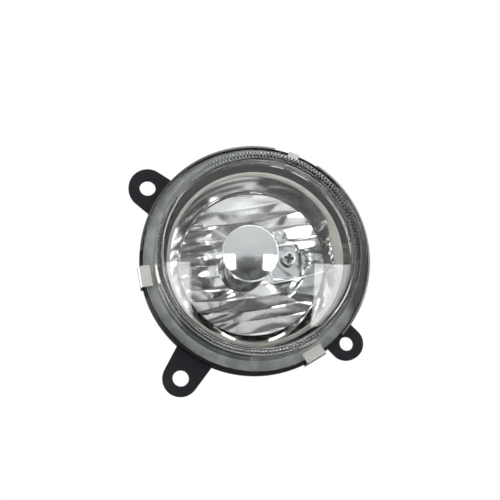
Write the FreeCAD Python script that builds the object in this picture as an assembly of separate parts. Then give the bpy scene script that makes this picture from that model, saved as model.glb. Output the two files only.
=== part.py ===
import FreeCAD, Part
import math
import os
from FreeCAD import Vector

# Round fog light for a front bumper, seen from the front along +Y, with +Z up.
# The origin is on the lamp's axis, in the plane of the rear faces of its three ears.
# All lengths are in millimetres and all angles in degrees.

# Housing rim, the black ring round the glass
rim_lip = 1.1
rim_bevel = 0.9
rim_proud = 1.5
rim_back = 2.0
pocket_depth = 0.5

# Front glass
flange_setback = 7.0
flange_thickness = 3.0
flange_width = 3.9
flange_clearance = 0.3
drum_root_radius = 41.5
drum_draft = 0.8
drum_height = 16.0
glass_wall = 2.4
band_width = 3.0
window_rise = 5.0
step_drop = 1.2

# Rubber ring under the glass
seal_thickness = 1.2
seal_width = 3.2

# Housing drum behind the rim
shelf_width = 4.7
shell_wall = 2.2
shell_draft = 0.8
shell_depth = 30.0
shell_corner = 2.0
neck_inner_radius = 23.0
neck_wall = 2.2
neck_length = 6.0
neck_bead = 0.8
gusset_count = 12
gusset_first_angle = 15.0
gusset_thickness = 1.6
gusset_length = 12.0
gusset_edge_gap = 0.8

# Ears: angle, how far the hole's centre stands out from the rim, the wall round the hole,
# and the arc of rim that the ear grows from
ear_thickness = 3.0
large_hole_radius = 3.3
small_hole_radius = 2.9
upper_left_ear = {
    "angle": 138.15,
    "reach": 5.96,
    "hole": large_hole_radius,
    "wall": 4.5,
    "arc": (128.0, 149.0),
}
lower_left_ear = {
    "angle": 230.45,
    "reach": 9.74,
    "hole": large_hole_radius,
    "wall": 4.1,
    "arc": (220.0, 241.0),
}
lower_right_ear = {
    "angle": 310.17,
    "reach": 3.58,
    "hole": small_hole_radius,
    "wall": 3.9,
    "arc": (302.0, 319.0),
}
ears = (upper_left_ear, lower_left_ear, lower_right_ear)

# Spring clips: thickness, widths, and for each its angle and the arc of its pocket in the rim
clip_thickness = 0.7
clip_drum_gap = 1.1
clip_shell_gap = 1.7
clip_width = 8.6
narrow_clip_width = 4.4
left_clip = {"angle": 182.0, "width": clip_width, "arc": (169.0, 192.5)}
lower_clip = {"angle": 293.5, "width": clip_width, "arc": (286.5, 311.0)}
upper_clip = {"angle": 62.0, "width": narrow_clip_width, "arc": (49.0, 72.0)}
clips = (left_clip, lower_clip, upper_clip)

# Reflector: rim on the lamp's axis, steep wall beside it, bowl on the bulb's axis
optic_x = -3.0
optic_z = 0.8
steep_x = -0.5
steep_z = -0.1
reflector_gap = 3.5
reflector_lip = 1.6
reflector_wall = 2.0
steep_wall_slope = 4.5
steep_wall_depth = 12.0
focal_length = 13.5
bowl_depth = 29.7
bowl_points = 7
bulb_hole_radius = 10.6
flute_pitch = 5.2
flute_step = 0.7
collar_radius = 16.3
collar_flare = 6.5
bowl_back_wall = 3.0

# Pivot about which the reflector is aimed
pivot_depth = 15.0
pivot_radius = 2.0
pivot_clearance = 0.05
pin_end_gap = 0.4
cup_radius = 4.0
cup_length = 4.6
cup_mouth = 3.0
cup_floor = 0.3
pad_radius = 5.0
pad_height = 0.8

# Aim adjuster below the bowl
socket_gap = 0.5
ball_radius = 3.2
ball_clearance = 0.1
socket_wall = 1.2
socket_web = 6.4
socket_screw_room = 0.7
screw_radius = 1.9
screw_clearance = 0.05
screw_tip_gap = 5.2
adjuster_boss_radius = 5.4
adjuster_boss_length = 5.0
bush_radius = 3.6
bush_flange = 4.8
bush_flange_thickness = 1.0
shank_radius = 2.4
shank_shoulder = 2.0
adjuster_head_across = 8.0
adjuster_head_length = 6.0
driver_slot_width = 1.0
driver_slot_depth = 1.5
driver_slot_length = 6.0
adjuster_flange_radius = 5.6
adjuster_flange_thickness = 1.2
retainer_radius = 3.6
retainer_thickness = 0.8
retainer_gap = 0.2
retainer_mouth = 1.6

# Bulb shield
shield_radius = 11.1
shield_crown = 30.0
shield_skirt = 4.0
shield_sheet = 0.8
shield_ahead = 11.0
leg_width = 6.0
foot_standoff = 4.3
foot_reach = 22.6
foot_top = 6.0
foot_bottom = -8.5
foot_corner = 1.6
foot_screw_reach = 18.6
foot_boss_radius = 3.2

# Pan-head cross-recess screws
shield_screw_radius = 1.25
shield_screw_head = 2.9
shield_screw_head_height = 2.0
shield_screw_length = 5.0
shield_screw_room = 0.6
cross_width = 0.8
cross_length = 3.4
cross_depth = 1.1
screw_hole_clearance = 0.05
holder_screw_radius = 1.15
holder_screw_head = 2.1
holder_screw_head_height = 1.4
holder_screw_length = 8.0
holder_screw_circle = 14.0
holder_screw_count = 3

# Bulb holder ring and the bulb's quarter-turn lock
holder_radius = 16.5
holder_length = 6.0
holder_proud = 0.8
holder_bore = 10.3
lock_groove_radius = 12.3
lock_groove_start = 2.0
lock_groove_width = 2.0
lock_clearance = 0.1
lug_count = 3
lug_first_angle = 30.0
lug_angle = 24.0
lug_radius = 12.1
notch_angle = 30.0
notch_turn = 40.0

# Bulb
plug_clearance = 0.2
plug_setback = 0.5
bulb_flange_radius = 13.4
bulb_flange_thickness = 2.4
bulb_flange_gap = 0.1
bulb_body_radius = 10.4
bulb_body_length = 13.0
bulb_seal_width = 1.2
bulb_seal_depth = 0.9
bulb_seal_gap = 0.05
bulb_seal_ledge = 0.3
metal_base_radius = 9.7
metal_base_length = 9.0
metal_neck_wall = 0.8
metal_neck_length = 2.5
capsule_seat = 3.0
capsule_radius = 6.0
capsule_wall = 1.0
capsule_length = 33.0
capsule_nose = 4.0
capsule_pinch = 4.0
filament_ahead = 16.5
filament_radius = 0.9
filament_length = 5.0
filament_lead = 0.4
filament_lead_spacing = 2.4
filament_bridge_gap = 0.6
connector_width = 17.0
connector_height = 11.0
connector_reach = 27.0
connector_socket_depth = 12.0
connector_wall = 1.6
latch_width = 6.0
latch_height = 1.4
latch_start = 3.0
latch_length = 5.0
terminal_width = 2.8
terminal_thickness = 0.8
terminal_spacing = 5.6
terminal_reach = 9.0
terminal_root = 6.0

# Rubber boot between the housing neck and the holder ring
boot_wall = 1.3
boot_gap = 0.3
boot_grip = 4.0
boot_fold = 3.6
boot_tongue = 1.6
clamp_thickness = 0.8
clamp_width = 3.2
clamp_lug_height = 4.2
clamp_lug_width = 3.2
clamp_slot = 1.2

# Vent on the rear wall
vent_angle = 125.0
vent_edge_gap = 1.0
vent_tube_radius = 3.2
vent_tube_bore = 2.0
vent_tube_length = 5.0
vent_membrane_thickness = 0.3
vent_cap_radius = 5.0
vent_cap_wall = 0.9
vent_cap_gap = 0.3
vent_cap_standoff = 1.0
vent_rib_width = 1.2

# Radii that follow from the sizes above
flange_radius = drum_root_radius + flange_width
lip_inner_radius = flange_radius + flange_clearance
rim_radius = lip_inner_radius + rim_lip
seal_inner_radius = flange_radius - seal_width
shell_inner_radius = lip_inner_radius - shelf_width
shell_outer_radius = shell_inner_radius + shell_wall
drum_inner_radius = drum_root_radius - glass_wall
drum_front_radius = drum_root_radius - drum_draft
window_radius = drum_front_radius - band_width
reflector_rim_radius = drum_inner_radius - reflector_gap
steep_top_radius = reflector_rim_radius - reflector_lip
steep_wall_radius = steep_top_radius - steep_wall_slope
neck_outer_radius = neck_inner_radius + neck_wall
rear_flat_radius = shell_outer_radius - shell_draft - shell_corner
vent_circle = rear_flat_radius - vent_cap_radius - vent_edge_gap
socket_outer_radius = ball_radius + ball_clearance + socket_wall
adjuster_drop = shell_inner_radius - socket_outer_radius - socket_gap

# Places along the lamp's depth that follow from the sizes above
flange_y = -flange_setback
rim_front_y = flange_y - rim_proud
shelf_y = flange_y + flange_thickness + seal_thickness
step_y = flange_y - drum_height
window_y = step_y + step_drop
rear_inner_y = shell_depth
rear_outer_y = shell_depth + shell_wall
neck_back_y = rear_outer_y + neck_length
steep_end_y = flange_y + steep_wall_depth
bowl_y = flange_y + bowl_depth
pivot_y = flange_y + pivot_depth
holder_back_y = neck_back_y + holder_proud
collar_back_y = holder_back_y - holder_length
shield_rim_y = flange_y - shield_ahead
foot_surface_y = bowl_y - foot_screw_reach ** 2 / (4 * focal_length)
foot_y = foot_surface_y - foot_standoff - shield_sheet
optic = (optic_x, optic_z)
steep_centre = (steep_x, steep_z)


def polar(radius, angle, y=0.0, centre=(0.0, 0.0)):
    """A point at a radius and angle about an axis that runs along Y."""
    turn = math.radians(angle)
    return Vector(centre[0] + radius * math.cos(turn), y, centre[1] + radius * math.sin(turn))


def lathe(points, centre=(0.0, 0.0)):
    """A solid of revolution about an axis along Y, from a closed profile of (radius, y) points."""
    corners = [Vector(centre[0] + radius, y, centre[1]) for radius, y in points]
    face = Part.Face(Part.makePolygon(corners + corners[:1]))
    return face.revolve(Vector(centre[0], 0, centre[1]), Vector(0, 1, 0), 360)


def lathe_edges(edges, centre=(0.0, 0.0)):
    """A solid of revolution about an axis along Y, from profile edges in the plane through it."""
    face = Part.Face(Part.Wire(edges))
    return face.revolve(Vector(centre[0], 0, centre[1]), Vector(0, 1, 0), 360)


def rod(radius, y_start, y_end, centre=(0.0, 0.0)):
    """A cylinder along Y between two depths."""
    start = Vector(centre[0], y_start, centre[1])
    return Part.makeCylinder(radius, y_end - y_start, start, Vector(0, 1, 0))


def ring(outer, inner, y_start, y_end, centre=(0.0, 0.0)):
    """A flat ring about an axis along Y."""
    return rod(outer, y_start, y_end, centre).cut(rod(inner, y_start - 1, y_end + 1, centre))


def block(x_start, x_end, y_start, y_end, z_start, z_end):
    """A box between two corners."""
    size = (x_end - x_start, y_end - y_start, z_end - z_start)
    return Part.makeBox(*size, Vector(x_start, y_start, z_start))


def wedge(outer, y_start, y_end, start_angle, end_angle, centre=(0.0, 0.0)):
    """A pie slice about an axis along Y, between two angles."""
    first = polar(outer, start_angle, y_start, centre)
    middle = polar(outer, (start_angle + end_angle) / 2, y_start, centre)
    last = polar(outer, end_angle, y_start, centre)
    hub = Vector(centre[0], y_start, centre[1])
    edges = [Part.makeLine(hub, first), Part.Arc(first, middle, last).toShape(), Part.makeLine(last, hub)]
    return Part.Face(Part.Wire(edges)).extrude(Vector(0, y_end - y_start, 0))


def turned(shape, angle, centre=(0.0, 0.0)):
    """A copy of a shape turned about an axis along Y, so that +X goes towards +Z."""
    copy = shape.copy()
    copy.rotate(Vector(centre[0], 0, centre[1]), Vector(0, -1, 0), angle)
    return copy


def group(shapes):
    """Separate solids that share one node."""
    return Part.makeCompound(shapes)


def tangent_point(start, centre, radius, side):
    """Where the line from a point touches a circle in the XZ plane, on the side +1 or -1."""
    away_x = start[0] - centre[0]
    away_z = start[1] - centre[1]
    distance = math.hypot(away_x, away_z)
    swing = side * math.acos(radius / distance)
    angle = math.atan2(away_z, away_x) + swing
    return (centre[0] + radius * math.cos(angle), centre[1] + radius * math.sin(angle))


def ear_centre(ear):
    """Where an ear's hole stands, as (x, z)."""
    spot = polar(rim_radius + ear["reach"], ear["angle"])
    return (spot.x, spot.z)


def ear_blank(ear):
    """An ear without its hole: a round end joined to the rim by two tangent edges."""
    centre = ear_centre(ear)
    end_radius = ear["hole"] + ear["wall"]
    roots = [polar(lip_inner_radius, angle) for angle in ear["arc"]]
    touches = []
    for root, side in zip(roots, (1, -1)):
        touches.append(tangent_point((root.x, root.z), centre, end_radius, side))
    corners = [
        roots[0],
        Vector(touches[0][0], 0, touches[0][1]),
        Vector(centre[0], 0, centre[1]),
        Vector(touches[1][0], 0, touches[1][1]),
        roots[1],
    ]
    web = Part.Face(Part.makePolygon(corners + corners[:1])).extrude(Vector(0, -ear_thickness, 0))
    return web.fuse(rod(end_radius, -ear_thickness, 0, centre))


def pivot_pad(side):
    """A flat pad on the housing's inner wall, which carries a pivot cup."""
    height = pad_height + shell_wall / 2
    start = Vector(side * (shell_inner_radius - pad_height), pivot_y, 0)
    return Part.makeCylinder(pad_radius, height, start, Vector(side, 0, 0))


def gusset(index):
    """A thin stiffening rib between the back of the rim and the drum."""
    outer = rim_radius - gusset_edge_gap
    inner = shell_inner_radius + shell_wall / 2
    corners = [
        Vector(inner, 0, -gusset_thickness / 2),
        Vector(outer, 0, -gusset_thickness / 2),
        Vector(outer, rim_back, -gusset_thickness / 2),
        Vector(inner, rim_back + gusset_length, -gusset_thickness / 2),
    ]
    rib = Part.Face(Part.makePolygon(corners + corners[:1])).extrude(Vector(0, 0, gusset_thickness))
    return turned(rib, gusset_first_angle + index * 360 / gusset_count)


def make_housing():
    """The black moulded body: rim, drum, rear wall, neck, ears and bosses in one piece."""
    bead_outer = neck_outer_radius + neck_bead
    rear_inner_radius = shell_inner_radius - shell_draft
    rear_outer_radius = shell_outer_radius - shell_draft
    body = lathe([
        (lip_inner_radius, rim_front_y),
        (rim_radius - rim_bevel, rim_front_y),
        (rim_radius, rim_front_y + rim_bevel),
        (rim_radius, rim_back),
        (shell_outer_radius, rim_back),
        (rear_outer_radius, rear_outer_y - shell_corner),
        (rear_outer_radius - shell_corner, rear_outer_y),
        (neck_outer_radius, rear_outer_y),
        (neck_outer_radius, neck_back_y - 2 * neck_bead),
        (bead_outer, neck_back_y - neck_bead),
        (neck_outer_radius, neck_back_y),
        (neck_inner_radius, neck_back_y),
        (neck_inner_radius, rear_inner_y),
        (rear_inner_radius - shell_corner, rear_inner_y),
        (rear_inner_radius, rear_inner_y - shell_corner),
        (shell_inner_radius, shelf_y),
        (lip_inner_radius, shelf_y),
    ])
    body = body.multiFuse([ear_blank(ear) for ear in ears] + [gusset(index) for index in range(gusset_count)])
    body = body.cut(rod(lip_inner_radius, rim_front_y, shelf_y))
    body = body.multiFuse([pivot_pad(-1), pivot_pad(1)])
    adjuster = (0.0, -adjuster_drop)
    boss_back_y = rear_outer_y + adjuster_boss_length
    vent = polar(vent_circle, vent_angle)
    vent_centre = (vent.x, vent.z)
    vent_back_y = rear_outer_y + vent_tube_length
    body = body.fuse(rod(adjuster_boss_radius, rear_inner_y, boss_back_y, adjuster))
    body = body.fuse(rod(vent_tube_radius, rear_inner_y, vent_back_y, vent_centre))
    cuts = [
        rod(bush_radius, rear_inner_y - 1, boss_back_y + 1, adjuster),
        rod(vent_tube_bore, rear_inner_y - 1, vent_back_y + 1, vent_centre),
    ]
    for ear in ears:
        cuts.append(rod(ear["hole"], -ear_thickness - 1, 1, ear_centre(ear)))
    for clip in clips:
        cuts.append(wedge(2 * rim_radius, rim_front_y - 1, flange_y, *clip["arc"]))
        side = wedge(2 * rim_radius, flange_y - 1, -ear_thickness, *clip["arc"])
        cuts.append(side.cut(rod(rim_radius - pocket_depth, rim_front_y, 0)))
    return body.cut(Part.makeCompound(cuts)).removeSplitter()


def make_lens():
    """The moulded front glass: seat flange, drum, stepped band and a gently crowned window."""
    inner_step_y = step_y + step_drop + glass_wall
    outer_crown = Vector(0, window_y - window_rise, 0)
    crown_mid = crown_point(window_radius, window_rise, window_y, 0.6)
    inner_front = drum_front_radius - glass_wall
    inner_window = window_radius - glass_wall
    inner_top = Vector(0, window_y - window_rise + glass_wall, 0)
    inner_mid = crown_point(inner_window, window_rise, inner_step_y, 0.6)
    seat_back_y = flange_y + flange_thickness
    outline = [
        (drum_inner_radius, seat_back_y),
        (flange_radius, seat_back_y),
        (flange_radius, flange_y),
        (drum_root_radius, flange_y),
        (drum_front_radius, step_y),
        (window_radius, step_y),
        (window_radius, window_y),
    ]
    inside = [
        (inner_window, inner_step_y),
        (inner_front, inner_step_y),
        (drum_inner_radius, seat_back_y),
    ]
    outer_points = [Vector(radius, y, 0) for radius, y in outline]
    inner_points = [Vector(radius, y, 0) for radius, y in inside]
    edges = [Part.makeLine(a, b) for a, b in zip(outer_points, outer_points[1:])]
    edges.append(Part.Arc(outer_points[-1], crown_mid, outer_crown).toShape())
    edges.append(Part.makeLine(outer_crown, inner_top))
    edges.append(Part.Arc(inner_top, inner_mid, inner_points[0]).toShape())
    edges += [Part.makeLine(a, b) for a, b in zip(inner_points, inner_points[1:])]
    return lathe_edges(edges)


def crown_point(radius, rise, base_y, share):
    """A point on the arc of a crown, at a share of its radius."""
    sphere = (radius ** 2 + rise ** 2) / (2 * rise)
    away = radius * share
    return Vector(away, base_y - rise + sphere - math.sqrt(sphere ** 2 - away ** 2), 0)


def make_lens_seal():
    """The rubber ring that the glass is pressed onto."""
    return ring(flange_radius, seal_inner_radius, flange_y + flange_thickness, shelf_y)


def make_clip(clip):
    """A bent spring clip that holds the glass flange to the back of the rim."""
    half = clip["width"] / 2
    outer = rim_radius + clip_thickness
    front_y = flange_y - clip_thickness
    hook_x = shell_outer_radius + clip_shell_gap
    front = block(drum_root_radius + clip_drum_gap, outer, front_y, flange_y, -half, half)
    side = block(rim_radius, outer, front_y, rim_back + clip_thickness, -half, half)
    hook = block(hook_x, outer, rim_back, rim_back + clip_thickness, -half, half)
    shape = front.multiFuse([side, hook]).removeSplitter()
    corners = [edge for edge in shape.Edges if is_bend(edge, outer, front_y)]
    return turned(shape.makeFillet(clip_thickness * 0.9, corners), clip["angle"])


def is_bend(edge, outer, front_y):
    """Whether an edge of a clip is one of its two outer bends."""
    box = edge.BoundBox
    if abs(box.XMin - outer) > 0.01 or box.XLength > 0.01 or box.YLength > 0.01:
        return False
    return abs(box.YMin - front_y) < 0.01 or abs(box.YMin - rim_back - clip_thickness) < 0.01


def bowl(shift=0.0):
    """The inside of the bowl: a paraboloid about the bulb's axis, moved back by a shift."""
    reach = math.sqrt(4 * focal_length * bowl_depth)
    points = []
    for index in range(bowl_points):
        radius = reach * index / (bowl_points - 1)
        y = bowl_y + shift - radius ** 2 / (4 * focal_length)
        points.append(Vector(optic_x + radius, y, optic_z))
    curve = Part.BSplineCurve()
    curve.interpolate(points)
    centre = Vector(optic_x, points[-1].y, optic_z)
    edges = [curve.toShape(), Part.makeLine(points[-1], centre), Part.makeLine(centre, points[0])]
    return lathe_edges(edges, optic)


def make_reflector():
    """The aluminised bowl with its flutes, rear collar, pivot pins and adjuster socket."""
    offset = math.hypot(steep_x, steep_z)
    outside = lathe([
        (0, flange_y),
        (reflector_rim_radius, flange_y),
        (reflector_rim_radius, flange_y + reflector_wall),
        (steep_wall_radius + offset + reflector_wall, steep_end_y),
        (steep_wall_radius + offset + reflector_wall, pivot_y + cup_radius),
        (collar_radius + collar_flare, bowl_y - 1),
        (collar_radius, bowl_y + bowl_back_wall),
        (0, bowl_y + bowl_back_wall),
    ])
    collar = rod(collar_radius, pivot_y + cup_radius, collar_back_y, optic)
    pins = []
    for side in (-1, 1):
        start = Vector(side * (steep_wall_radius + reflector_wall / 2), pivot_y, 0)
        reach = shell_inner_radius - pad_height - pin_end_gap - abs(start.x)
        pins.append(Part.makeCylinder(pivot_radius, reach, start, Vector(side, 0, 0)))
    socket_top = -adjuster_drop
    socket = rod(socket_outer_radius, pivot_y - ball_radius, pivot_y + ball_radius, (0, socket_top))
    web_top = -(steep_wall_radius + reflector_wall / 2)
    half_web = socket_web / 2
    web = block(-half_web, half_web, pivot_y - ball_radius, pivot_y + ball_radius, socket_top + 1, web_top)
    body = outside.multiFuse([collar, socket, web] + pins)
    steep = lathe([
        (0, flange_y - 1),
        (steep_top_radius, flange_y - 1),
        (steep_top_radius, flange_y),
        (steep_wall_radius, steep_end_y),
        (0, steep_end_y),
    ], steep_centre)
    core = rod(steep_wall_radius, steep_end_y, bowl_y + 2 * flute_step, steep_centre)
    hollow = steep.fuse(core.common(bowl()))
    body = body.cut(hollow)
    body = body.cut(make_flute_cuts(core))
    boss_y = foot_y + shield_sheet
    boss_centre = (optic_x + foot_screw_reach, optic_z)
    body = body.fuse(rod(foot_boss_radius, boss_y, foot_surface_y + reflector_wall, boss_centre))
    ball_centre = Vector(0, pivot_y, socket_top)
    cuts = [
        rod(bulb_hole_radius, bowl_y - 5, collar_back_y + 1, optic),
        Part.makeSphere(ball_radius + ball_clearance, ball_centre),
        rod(screw_radius + socket_screw_room, pivot_y - 3 * ball_radius, pivot_y + 3 * ball_radius,
            (0, socket_top)),
        rod(shield_screw_radius + screw_hole_clearance, boss_y - 1,
            foot_y + shield_screw_length + shield_screw_room, boss_centre),
    ]
    for index in range(holder_screw_count):
        spot = polar(holder_screw_circle, holder_screw_angle(index), 0, optic)
        hole = holder_screw_radius + screw_hole_clearance
        depth = holder_screw_length - holder_length + holder_screw_head_height + 1
        cuts.append(rod(hole, collar_back_y - depth, collar_back_y + 1, (spot.x, spot.z)))
    return body.cut(Part.makeCompound(cuts)).removeSplitter()


def make_flute_cuts(core):
    """Every second horizontal band of the bowl, sunk by one flute step."""
    deep = core.common(bowl(flute_step)).cut(bowl())
    count = int(steep_wall_radius / flute_pitch) + 1
    bands = []
    for index in range(-count, count + 1, 2):
        low = optic_z + (index - 0.5) * flute_pitch
        band = block(-rim_radius, rim_radius, flange_y, bowl_y + 5, low, low + flute_pitch)
        piece = deep.common(band)
        if piece.Volume > 0.01:
            bands.append(piece)
    return Part.makeCompound(bands)


def holder_screw_angle(index):
    """The angle of one of the holder ring's screws."""
    return 90 + index * 360 / holder_screw_count


def make_bulb_shield():
    """The chromed cap ahead of the bulb, with its side leg and its foot plate."""
    rim = shield_radius
    sag = shield_crown - math.sqrt(shield_crown ** 2 - rim ** 2)
    skirt_y = shield_rim_y + shield_skirt
    tip_y = shield_rim_y - sag
    inner = rim - shield_sheet
    outer_mid = crown_point(rim, sag, shield_rim_y, 0.5)
    inner_mid = crown_point(inner, sag, shield_rim_y + shield_sheet, 0.5)
    centre = Vector(optic_x, 0, optic_z)
    points = [
        Vector(0, tip_y, 0),
        Vector(rim, shield_rim_y, 0),
        Vector(rim, skirt_y, 0),
        Vector(inner, skirt_y, 0),
        Vector(inner, shield_rim_y + shield_sheet, 0),
        Vector(0, tip_y + shield_sheet, 0),
    ]
    points = [point + centre for point in points]
    edges = [
        Part.Arc(points[0], outer_mid + centre, points[1]).toShape(),
        Part.makeLine(points[1], points[2]),
        Part.makeLine(points[2], points[3]),
        Part.makeLine(points[3], points[4]),
        Part.Arc(points[4], inner_mid + centre, points[5]).toShape(),
        Part.makeLine(points[5], points[0]),
    ]
    cap = lathe_edges(edges, optic)
    half = leg_width / 2
    leg_x = optic_x + inner - 0.3
    back_y = foot_y + shield_sheet
    leg = block(leg_x, leg_x + shield_sheet, skirt_y - 1, back_y, optic_z - half, optic_z + half)
    foot = block(leg_x, optic_x + foot_reach, foot_y, back_y, optic_z + foot_bottom, optic_z + foot_top)
    far = [edge for edge in foot.Edges if is_foot_corner(edge)]
    foot = foot.makeFillet(foot_corner, far)
    shape = cap.multiFuse([leg, foot])
    hole = shield_screw_radius + screw_hole_clearance
    spot = (optic_x + foot_screw_reach, optic_z)
    return shape.cut(rod(hole, foot_y - 1, back_y + 1, spot)).removeSplitter()


def is_foot_corner(edge):
    """Whether an edge is one of the foot plate's two far corners."""
    box = edge.BoundBox
    return abs(box.XMin - optic_x - foot_reach) < 0.01 and box.ZLength < 0.01 and box.XLength < 0.01


def pan_screw(head_y, centre, shank, head, head_height, length, crowned):
    """A cross-recess screw whose head's underside is at a depth; the front of its head faces -Y."""
    profile = [(0, head_y - head_height)]
    if crowned:
        profile += [(head * 0.55, head_y - head_height), (head * 0.88, head_y - head_height * 0.72)]
        profile += [(head, head_y - head_height * 0.3)]
    else:
        profile += [(head, head_y - head_height)]
    profile += [(head, head_y), (shank, head_y), (shank, head_y + length - shank)]
    profile += [(0, head_y + length)]
    body = lathe(profile, centre)
    low = head_y - head_height - 1
    deep = head_y - head_height + cross_depth
    half = cross_width / 2
    long_half = min(cross_length / 2, head * 0.6)
    x, z = centre
    across = block(x - long_half, x + long_half, low, deep, z - half, z + half)
    up = block(x - half, x + half, low, deep, z - long_half, z + long_half)
    return body.cut(across.fuse(up))


def make_shield_screw():
    """The screw that holds the shield's foot to its boss on the reflector."""
    centre = (optic_x + foot_screw_reach, optic_z)
    return pan_screw(foot_y, centre, shield_screw_radius, shield_screw_head,
                     shield_screw_head_height, shield_screw_length, True)


def facing_back(shape, y):
    """A copy of a shape mirrored in the plane at a depth, so that what faced forward faces back."""
    return shape.mirror(Vector(0, y, 0), Vector(0, 1, 0))


def make_holder_screws():
    """The three screws that hold the holder ring to the reflector's collar, heads to the rear."""
    screws = []
    seat_y = holder_back_y - holder_screw_head_height
    for index in range(holder_screw_count):
        spot = polar(holder_screw_circle, holder_screw_angle(index), 0, optic)
        screw = pan_screw(seat_y, (spot.x, spot.z), holder_screw_radius, holder_screw_head,
                          holder_screw_head_height, holder_screw_length, False)
        screws.append(facing_back(screw, seat_y))
    return group(screws)


def make_bulb_holder():
    """The ring behind the reflector that the bulb's three lugs lock into."""
    groove_y = collar_back_y + lock_groove_start
    body = ring(holder_radius, holder_bore, collar_back_y, holder_back_y, optic)
    cuts = [rod(lock_groove_radius, groove_y, groove_y + lock_groove_width, optic)]
    for index in range(lug_count):
        middle = lug_middle(index) - notch_turn
        notch = wedge(lock_groove_radius, groove_y, holder_back_y + 1,
                      middle - notch_angle / 2, middle + notch_angle / 2, optic)
        cuts.append(notch)
    seat_y = holder_back_y - holder_screw_head_height
    for index in range(holder_screw_count):
        spot = polar(holder_screw_circle, holder_screw_angle(index), 0, optic)
        centre = (spot.x, spot.z)
        cuts.append(rod(holder_screw_radius + screw_hole_clearance, collar_back_y - 1, seat_y, centre))
        cuts.append(rod(holder_screw_head + screw_hole_clearance, seat_y, holder_back_y + 1, centre))
    return body.cut(Part.makeCompound(cuts)).removeSplitter()


def lug_middle(index):
    """The angle of one of the bulb's locking lugs at rest."""
    return lug_first_angle + index * 360 / lug_count


def make_bulb_base():
    """The bulb's plastic base: locking plug, flange, body and the socket for the car's plug."""
    plug_radius = holder_bore - plug_clearance
    groove_y = collar_back_y + lock_groove_start
    lug_y = groove_y + lock_clearance
    flange_front = holder_back_y + bulb_flange_gap
    flange_back = flange_front + bulb_flange_thickness
    body_back = flange_back + bulb_body_length
    lugs = []
    for index in range(lug_count):
        start = lug_middle(index) - lug_angle / 2
        width = lock_groove_width - 2 * lock_clearance
        lugs.append(wedge(lug_radius, lug_y, lug_y + width, start, start + lug_angle, optic))
    plug = rod(plug_radius, collar_back_y + plug_setback, flange_front, optic)
    flange = rod(bulb_flange_radius, flange_front, flange_back, optic)
    body = rod(bulb_body_radius, flange_back, body_back, optic)
    half = connector_width / 2
    low_z = optic_z - connector_reach
    high_y = body_back
    low_y = body_back - connector_height
    shroud = block(optic_x - half, optic_x + half, low_y, high_y, low_z, optic_z)
    long_edges = [edge for edge in shroud.Edges if edge.BoundBox.ZLength > connector_wall]
    shroud = shroud.makeFillet(connector_wall, long_edges)
    half_latch = latch_width / 2
    latch_z = low_z + latch_start
    latch = block(optic_x - half_latch, optic_x + half_latch, high_y, high_y + latch_height,
                  latch_z, latch_z + latch_length)
    shape = plug.multiFuse(lugs + [flange, body, shroud, latch])
    wall = connector_wall
    socket = block(optic_x - half + wall, optic_x + half - wall, low_y + wall, high_y - wall,
                   low_z - 1, low_z + connector_socket_depth)
    seal_y = groove_y + lock_groove_width + bulb_seal_ledge
    groove = ring(plug_radius + 1, plug_radius - bulb_seal_depth, seal_y, seal_y + bulb_seal_width, optic)
    slots = [terminal_slot(side, high_y - connector_height / 2) for side in (-1, 1)]
    return shape.cut(Part.makeCompound([socket, groove] + slots)).removeSplitter()


def terminal_slot(side, y):
    """The block that one flat terminal fills, from the base's body down into the socket."""
    low_z = optic_z - connector_reach
    x = optic_x + side * terminal_spacing / 2
    start = low_z + connector_socket_depth - terminal_reach
    end = low_z + connector_socket_depth + terminal_root
    half_width = terminal_width / 2
    half_thick = terminal_thickness / 2
    return block(x - half_thick, x + half_thick, y - half_width, y + half_width, start, end)


def make_bulb_terminals():
    """The two flat terminals in the socket."""
    flange_back = holder_back_y + bulb_flange_gap + bulb_flange_thickness
    y = flange_back + bulb_body_length - connector_height / 2
    return group([terminal_slot(side, y) for side in (-1, 1)])


def make_bulb_seal():
    """The O-ring on the bulb's plug."""
    plug_radius = holder_bore - plug_clearance
    seal_y = collar_back_y + lock_groove_start + lock_groove_width + bulb_seal_ledge
    outer = holder_bore - bulb_seal_gap
    return ring(outer, plug_radius - bulb_seal_depth, seal_y, seal_y + bulb_seal_width, optic)


def make_bulb_metal_base():
    """The metal sleeve between the glass capsule and the plastic base."""
    back_y = collar_back_y + plug_setback
    front_y = back_y - metal_base_length
    sleeve = rod(metal_base_radius, front_y, back_y, optic)
    neck = rod(capsule_radius + metal_neck_wall, front_y - metal_neck_length, front_y, optic)
    seat = rod(capsule_radius, front_y - metal_neck_length - 1, front_y + capsule_seat, optic)
    return sleeve.fuse(neck).cut(seat).removeSplitter()


def capsule_base_y():
    """The depth at which the glass capsule ends in its metal sleeve."""
    return collar_back_y + plug_setback - metal_base_length + capsule_seat


def make_bulb_glass():
    """The quartz capsule: a closed hollow tube with a drawn nose."""
    back_y = capsule_base_y()
    front_y = back_y - capsule_length
    inner = capsule_radius - capsule_wall
    return lathe([
        (0, front_y),
        (capsule_radius * 0.45, front_y + 0.6),
        (capsule_radius * 0.85, front_y + capsule_nose * 0.5),
        (capsule_radius, front_y + capsule_nose),
        (capsule_radius, back_y),
        (0, back_y),
        (0, back_y - capsule_pinch),
        (inner, back_y - capsule_pinch),
        (inner, front_y + capsule_nose + 1),
        (inner * 0.5, front_y + capsule_wall + 1.4),
        (0, front_y + capsule_wall + 1),
    ], optic)


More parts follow.
